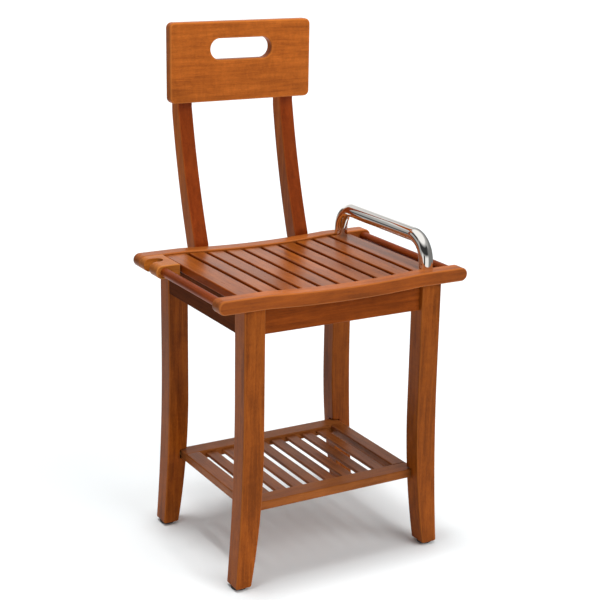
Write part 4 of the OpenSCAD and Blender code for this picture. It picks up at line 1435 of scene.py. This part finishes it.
@dataclass
class Back:
    """Raked posts and the panel with its hand hole."""

    post_w: float = 25.0
    heel: float = 27.0
    head_d: float = 25.0
    front_r: float = 1262.5
    front_rise: float = 444.4
    front_h: float = 194.4
    slope_h: float = 19.8
    rear_r: float = 1305.0
    rear_rise: float = 420.4
    rear_h: float = 204.4
    top_h: float = 792.0
    rim: float = 2.2
    panel_w: float = 252.0
    panel_h: float = 126.5
    panel_t: float = 18.0
    panel_low: float = 683.0
    corner: float = 9.0
    panel_rim: float = 3.0
    hand_w: float = 110.0
    hand_h: float = 33.4
    hand_z: float = 766.0
    front_steps: int = 24
    rear_steps: int = 26
    bolt_deep: float = 12.0
    bolt_r: float = 6.5
    bolt_run: float = 40.0
    bolt_drop: float = 2.0
    screw_low: float = 22.0
    screw_high: float = 38.0
    screw_seat: Tuple[Point, ...] = ((0.0, -2.4), (2.2, -2.2), (4.3, -0.1), (4.3, 3.0), (0.0, 3.0))

    @staticmethod
    def bowed(centre: float, r: float, rise: float, heights: Sequence[float]) -> List[Point]:
        """Points on a bowed face of a post.

        Args:
            centre: Depth of the bow's centre.
            r: Radius of the bow.
            rise: Height of its centre above the seat.
            heights: Heights of the points above the seat.

        Returns:
            Depth and height of each point.
        """
        return [(centre + math.sqrt(r ** 2 - (rise - dz) ** 2), SIZES.seat_h + dz) for dz in heights]

    def post_outline(self) -> List[Point]:
        """Draws a back post from the side.

        Returns:
            The outline.
        """
        s = SIZES
        y0 = s.seat_depth / 2
        cy = y0 - math.sqrt(self.front_r ** 2 - self.front_rise ** 2)
        back = s.panel_back_y + self.head_d
        by = back - math.sqrt(self.rear_r ** 2 - (self.rear_rise - self.rear_h) ** 2)
        front = self.bowed(cy, self.front_r, self.front_rise, spaced(0.0, self.front_h, self.front_steps))
        foot = self.rear_rise - math.sqrt(self.rear_r ** 2 - (y0 + self.heel - by) ** 2)
        rear = self.bowed(by, self.rear_r, self.rear_rise, spaced(foot, self.rear_h, self.rear_steps))
        outline = [(y0, s.apron_low), (y0 + self.heel, s.apron_low)] + rear + [(back, self.top_h)]
        outline += [(s.panel_back_y, self.top_h), (s.panel_back_y, s.seat_h + self.front_h + self.slope_h)]
        return Outline.softened(outline + front[::-1], self.rim + CORNER_OVER_RIM)

    def seats(self, x: float) -> List[bpy.types.Object]:
        """Turns the cutters for a post's bolts and screws.

        Args:
            x: Middle of the post.

        Returns:
            The cutters.
        """
        s = SIZES
        start = s.seat_depth / 2 + self.bolt_deep
        stop = start + self.bolt_run
        back = s.panel_back_y + self.head_d
        bolt = [(0, start), (self.bolt_r, start), (self.bolt_r, stop), (0, stop)]
        screw = [(r, back + dy) for r, dy in self.screw_seat]
        jobs = [("bolt_seat", bolt, s.rail_mid_z),
                ("bolt_seat", bolt, (s.apron_low + s.rail_low) / 2 - self.bolt_drop),
                ("screw_seat", screw, self.panel_low + self.screw_low),
                ("screw_seat", screw, self.panel_low + self.panel_h - self.screw_high)]
        return [Shop.turned(name, profile, Vector((x, 0, z)), Grain.ALONG_Y) for name, profile, z in jobs]

    def posts(self) -> None:
        """Cuts the two posts and the seats of their bolts and screws."""
        half = self.post_w / 2
        for side in Side:
            x = side.value * SIZES.post_x
            name = f"back_post_{side.label}"
            post = Shop.slab(name, self.post_outline(), Face.YZ, x - half, x + half, self.rim)
            Shop.cut(post, self.seats(x))
            Shop.fit(post, FINISHES.posts, [name], board=side.shade(-0.15))

    def panel(self) -> None:
        """Cuts the panel and its hand hole."""
        s = SIZES
        mid = self.panel_low + self.panel_h / 2
        outline = Outline.rounded_box(0, mid, self.panel_w, self.panel_h, self.corner, 8)
        hole = Outline.stadium(0, self.hand_z, self.hand_w, self.hand_h)[::-1]
        board = Shop.slab("back_panel", outline, Face.XZ, s.panel_back_y - self.panel_t, s.panel_back_y,
                          self.panel_rim, [hole], 5)
        Shop.fit(board, FINISHES.panel, ["back_panel"], board=EVEN)

    def build(self) -> None:
        """Builds the back."""
        self.posts()
        self.panel()


@dataclass
class GrabHandle:
    """Bent chrome tube at the right of the seat."""

    x: float = 152.5
    span: float = 250.0
    rise: float = 45.0
    bend: float = 36.0
    radius: float = 11.0

    def build(self) -> None:
        """Bends the tube and stands it on the slat and the rails."""
        s = SIZES
        low, high, half = s.seat_h - s.slat_drop, s.seat_h + self.rise, self.span / 2
        corners = [(-half, low), (-half, high), (half, high), (half, low)]
        mesh = bpy.data.meshes.new("grab_handle")
        mesh.from_pydata([(self.x * MM, y * MM, z * MM) for y, z in corners], [(0, 1), (1, 2), (2, 3)], [])
        piece = TubeTree().applied(placed("grab_handle", mesh), "bend", FINISHES.chrome,
                                   {"Bend Radius": self.bend, "Tube Radius": self.radius})
        bm = bmesh.new()
        bm.from_mesh(piece.data)
        bmesh.ops.remove_doubles(bm, verts=bm.verts[:], dist=WELD)
        bmesh.ops.recalc_face_normals(bm, faces=bm.faces[:])
        bm.to_mesh(piece.data)
        bm.free()
        Shop.fit(piece, FINISHES.chrome, ["grab_handle"], "chrome")


@dataclass
class Shelf:
    """Slatted lower shelf."""

    width: float = 300.0
    depth: float = 250.0
    rail_w: float = 30.0
    end_w: float = 25.0
    slat_w: float = 19.2
    slat_t: float = 5.0
    drop: float = 4.0
    count: int = 8
    arris: float = 2.0
    rail_rim: float = 1.5
    slat_arris: float = 1.2
    tongue: float = 1.0
    slats: SlatTree = field(default_factory=SlatTree)

    def build(self) -> None:
        """Builds the frame and the slats."""
        s = SIZES
        mid_z = s.shelf_h - s.shelf_t / 2
        inner_y = self.depth / 2 - self.rail_w
        inner_x = self.width / 2 - self.end_w
        for end in End:
            mid = end.value * (self.depth / 2 - self.rail_w / 2)
            outline = Outline.rounded_box(mid, mid_z, self.rail_w, s.shelf_t, self.arris, 4)
            name = f"shelf_rail_{end.label}"
            rail = Shop.slab(name, outline, Face.YZ, -self.width / 2, self.width / 2, self.rail_rim)
            Shop.fit(rail, FINISHES.shelf, [name], board=end.shade(-0.1))
        gap = (2 * inner_x - self.count * self.slat_w) / (self.count + 1)
        self.slats.row("shelf_ends", FINISHES.shelf_slats, ["shelf_end_left", "shelf_end_right"], {
            "Count": 2, "Pitch": 2 * inner_x + self.end_w, "Width": self.end_w, "Thickness": s.shelf_t,
            "Length": 2 * inner_y, "Arris": self.arris, "Bed Radius": FLAT_BED, "Middle Height": mid_z,
            "Seed": 7})
        slats = [f"shelf_slat_{i + 1}" for i in range(self.count)]
        self.slats.row("shelf_slats", FINISHES.shelf_slats, slats, {
            "Count": self.count, "Pitch": self.slat_w + gap, "Width": self.slat_w, "Thickness": self.slat_t,
            "Length": 2 * (inner_y + self.tongue), "Arris": self.slat_arris, "Bed Radius": FLAT_BED,
            "Middle Height": s.shelf_h - self.drop - self.slat_t / 2, "Seed": 23})


@dataclass
class Feet:
    """Screw-adjusted foot pads, whose tread and shoulder are drawn from the rim at the floor and the top."""

    x: float = 169.15
    y: float = 129.5
    radius: float = 12.0
    height: float = 4.0
    recess: Tuple[Point, ...] = ((0.0, 1.2), (2.75, 1.2), (2.75, 0.15), (3.0, 0.0))
    tread: Tuple[Point, ...] = ((-1.6, 0.0), (-0.7, 0.3), (-0.15, 0.9), (0.0, 1.5))
    shoulder: Tuple[Point, ...] = ((0.0, -0.5), (-0.2, -0.1), (-0.6, 0.0))

    def build(self) -> None:
        """Turns the four pads."""
        r, h = self.radius, self.height
        profile = [*self.recess] + [(r + dr, z) for dr, z in self.tread]
        profile += [(r + dr, h + dz) for dr, dz in self.shoulder] + [(0.0, h)]
        for side in Side:
            for end in End:
                tail = f"{end.label}_{side.label}"
                centre = Vector((side.value * self.x, end.value * self.y, 0))
                pad = Shop.turned(f"foot_pad_{tail}", profile, centre, Grain.ALONG_Z)
                Shop.fit(pad, FINISHES.rubber, [f"foot_pad_{tail}"], "pad", f"pad_{tail}")


@dataclass
class Fasteners:
    """Finishes of the fasteners, whose shapes the frame already has."""

    dressed: Dict[str, Finish] = field(default_factory=lambda: {
        "handle_plugs": FINISHES.steel, "handle_studs": FINISHES.steel, "post_bolts": FINISHES.steel,
        "panel_screws": FINISHES.steel, "post_sleeves": FINISHES.brass, "foot_inserts": FINISHES.brass,
        "shelf_dowels": FINISHES.beech, "holder_dowels": FINISHES.beech,
        **{f"foot_stud_{e.label}_{s.label}": FINISHES.steel for e in End for s in Side}})

    def build(self) -> None:
        """Gives each fastener its finish."""
        for node, finish in self.dressed.items():
            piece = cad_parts[node]
            piece.data.materials.clear()
            piece.data.materials.append(finish.material())
            log.info("%s: dressed with %s", node, finish.name)


@dataclass(frozen=True)
class Panel:
    """One soft-edged patch of the reflection dome."""

    azimuth: float
    half_width: float
    low: float
    high: float
    level: float
    blur: float = 5.0

    def mask(self, bench: NodeBench, level_way: Socket, rise: Socket) -> Socket:
        """Builds the patch's mask.

        Args:
            bench: Node helper.
            level_way: Level direction of the point, of length 1.
            rise: Elevation of the point in degrees.

        Returns:
            A socket that is 1 inside the patch and 0 outside.
        """
        turn = bench.degrees("ARCCOSINE", bench.dot(level_way, bearing(self.azimuth)))
        steps = ((turn, (self.half_width + self.blur, self.half_width - self.blur)),
                 (rise, (self.low - self.blur, self.low + self.blur)),
                 (rise, (self.high + self.blur, self.high - self.blur)))
        share: object = 1.0
        for value, limits in steps:
            share = bench.times(bench.remap(value, limits, 0.0, 1.0), share)
        return share


@dataclass(frozen=True)
class Lamp:
    """A far soft lamp, with its bearing and apparent width in degrees."""

    name: str
    azimuth: float
    elevation: float
    power: float
    spread: float
    away: float = 5.0

    def hang(self) -> None:
        """Hangs the lamp where reflections don't show it."""
        toward = bearing(self.azimuth, self.elevation)
        light = bpy.data.lights.new(self.name, "SUN")
        light.energy = self.power
        light.angle = math.radians(self.spread)
        holder = placed(self.name, light)
        holder.visible_glossy = False
        holder.location = toward * self.away
        holder.rotation_euler = (-toward).to_track_quat("-Z", "Y").to_euler()


@dataclass
class Studio:
    """Floor, lights, surroundings and camera."""

    lens: float = 84.31
    azimuth: float = -29.942
    elevation: float = 16.459
    roll: float = 0.978
    place: Tuple[float, float, float] = (-1.05004, -1.82962, 1.01894)
    sky_power: float = 0.6
    sky_dark: float = 0.12
    sky_bright: float = 0.85
    sky_turn: float = 35.0
    floor_tone: Tuple[float, float, float] = (0.82, 0.85, 0.86)
    wall_r: float = 20.0
    dome_r: float = 1.4
    dome_eye: float = 0.48
    dome_level: float = 0.45
    dome_low: float = 0.005
    floor_half: float = 60.0
    sensor: float = 36.0
    clip: Point = (0.05, 200.0)
    sky_edge: Point = (-0.35, 0.45)
    panels: Tuple[Panel, ...] = (
        Panel(0, 200, 50, 95, 1.1, 6), Panel(-165, 40, 27, 50, 0.78, 6), Panel(150, 40, -25, 24, 1.15, 12),
        Panel(-147, 35, -7, 7, 0.08, 4), Panel(-122, 25, 28, 50, 0.05, 5), Panel(-30, 62, 12, 42, 0.04, 5),
        Panel(-30, 50, -25, 8, 1.0, 6), Panel(75, 58, -25, 30, 0.22, 10), Panel(-46, 11, -25, 10, 0.015, 3))
    lamps: Tuple[Lamp, ...] = (Lamp("top", -110.0, 86.0, 2.1, 12.0), Lamp("key", 25.0, 35.0, 1.4, 40.0))

    def camera(self) -> None:
        """Stands the camera at the photograph's viewpoint."""
        a, t = math.radians(self.azimuth), math.radians(self.roll)
        back = bearing(self.azimuth, self.elevation)
        right = Vector((math.cos(a), math.sin(a), 0.0))
        up = back.cross(right)
        r2 = right * math.cos(t) + up * math.sin(t)
        u2 = -right * math.sin(t) + up * math.cos(t)
        turn = Matrix((r2, u2, back)).transposed().to_4x4()
        lens = bpy.data.cameras.new("camera")
        lens.lens = self.lens
        lens.sensor_width = self.sensor
        lens.clip_start, lens.clip_end = self.clip
        view = placed("camera", lens)
        view.matrix_world = Matrix.Translation(Vector(self.place)) @ turn
        bpy.context.scene.camera = view

    def floor(self) -> None:
        """Lays the pale floor."""
        bm = bmesh.new()
        bmesh.ops.create_grid(bm, x_segments=1, y_segments=1, size=self.floor_half)
        ground = Shop.from_bmesh("floor", bm)
        paint = bpy.data.materials.new("floor_paint")
        paint.use_nodes = True
        NodeBench(paint.node_tree).fill(paint.node_tree.nodes["Principled BSDF"], {
            "Base Color": (*self.floor_tone, 1.0), "Roughness": 0.9, "Specular IOR Level": 0.0})
        ground.data.materials.append(paint)

    def sky(self) -> None:
        """Sets the surroundings: bright overhead and behind the chair, dim on the viewer's side."""
        world = bpy.data.worlds.new("studio")
        bpy.context.scene.world = world
        world.use_nodes = True
        bench = NodeBench(world.node_tree)
        way = bench.place("Generated")
        depth = bench.dot(way, -bearing(self.azimuth - self.sky_turn))
        height = bench.math("MAXIMUM", bench.apart(way)[2], 0.0)
        side = bench.remap(depth, self.sky_edge, self.sky_dark, self.sky_bright)
        low = bench.times(side, bench.line(height, -1.0, 1.0))
        level = bench.times(bench.math("ADD", low, height), self.sky_power)
        bench.fill(world.node_tree.nodes["Background"], {0: WHITE, 1: level})

    @staticmethod
    def glowing(name: str, bm: bmesh.types.BMesh, to_camera: bool) -> NodeBench:
        """Stages a glowing shape that lights nothing.

        Args:
            name: Name of the object.
            bm: Its shape.
            to_camera: True if only the camera sees it, False if only reflections do.

        Returns:
            Helper for its material's emptied node tree.
        """
        shape = Shop.from_bmesh(name, bm)
        shape.visible_diffuse = shape.visible_shadow = shape.visible_transmission = False
        shape.visible_camera = to_camera
        shape.visible_glossy = not to_camera
        paint = bpy.data.materials.new(f"{name}_glow")
        paint.use_nodes = True
        if hasattr(paint, "cycles"):
            paint.cycles.emission_sampling = "NONE"
        paint.node_tree.nodes.clear()
        shape.data.materials.append(paint)
        return NodeBench(paint.node_tree)

    @staticmethod
    def light_up(bench: NodeBench, strength: object) -> None:
        """Ends a glowing shape's tree with white light."""
        glow = bench.add("ShaderNodeEmission", {"Color": WHITE, "Strength": strength})
        bench.add("ShaderNodeOutputMaterial", {0: glow.outputs[0]})

    def backdrop(self) -> None:
        """Stands a plain white wall round the floor, so a low view shows no sky."""
        bm = bmesh.new()
        bmesh.ops.create_cone(bm, cap_ends=False, segments=64, radius1=self.wall_r, radius2=self.wall_r,
                              depth=2 * self.wall_r)
        self.light_up(self.glowing("backdrop", bm, True), 1.0)

    def reflections(self) -> None:
        """Hangs a dome of soft panels that only reflections show, with dark gaps between them."""
        bm = bmesh.new()
        bmesh.ops.create_uvsphere(bm, u_segments=64, v_segments=32, radius=self.dome_r)
        bmesh.ops.bisect_plane(bm, geom=bm.verts[:] + bm.edges[:] + bm.faces[:],
                               plane_co=(0, 0, self.dome_low), plane_no=(0, 0, 1), clear_inner=True)
        bench = self.glowing("reflection_dome", bm, False)
        way = bench.shift("SUBTRACT", bench.place(), (0, 0, self.dome_eye))
        parts = bench.apart(bench.shift("NORMALIZE", way, (0, 0, 0)))
        level_way = bench.shift("NORMALIZE", bench.vector(parts[0], parts[1]), (0, 0, 0))
        rise = bench.degrees("ARCSINE", parts[2])
        level: object = self.dome_level
        for panel in self.panels:
            level = bench.remap(panel.mask(bench, level_way, rise), (0.0, 1.0), level, panel.level, "LINEAR")
        self.light_up(bench, level)

    def build(self) -> None:
        """Builds the studio."""
        self.camera()
        self.floor()
        self.backdrop()
        self.sky()
        self.reflections()
        for lamp in self.lamps:
            lamp.hang()
        settings = bpy.context.scene.view_settings
        settings.view_transform = "Standard"
        settings.look = "None"


def main() -> None:
    """Builds the studio and every sub-assembly, logging each one as it is done."""
    logging.basicConfig(level=logging.INFO, format="%(name)s: %(message)s")
    Studio().build()
    slats = SlatTree()
    for part in (Seat(slats=slats), Stand(), Back(), GrabHandle(), Shelf(slats=slats), Feet(), Fasteners()):
        part.build()
        log.info("%s done", type(part).__name__)


if __name__ == "__main__":
    main()
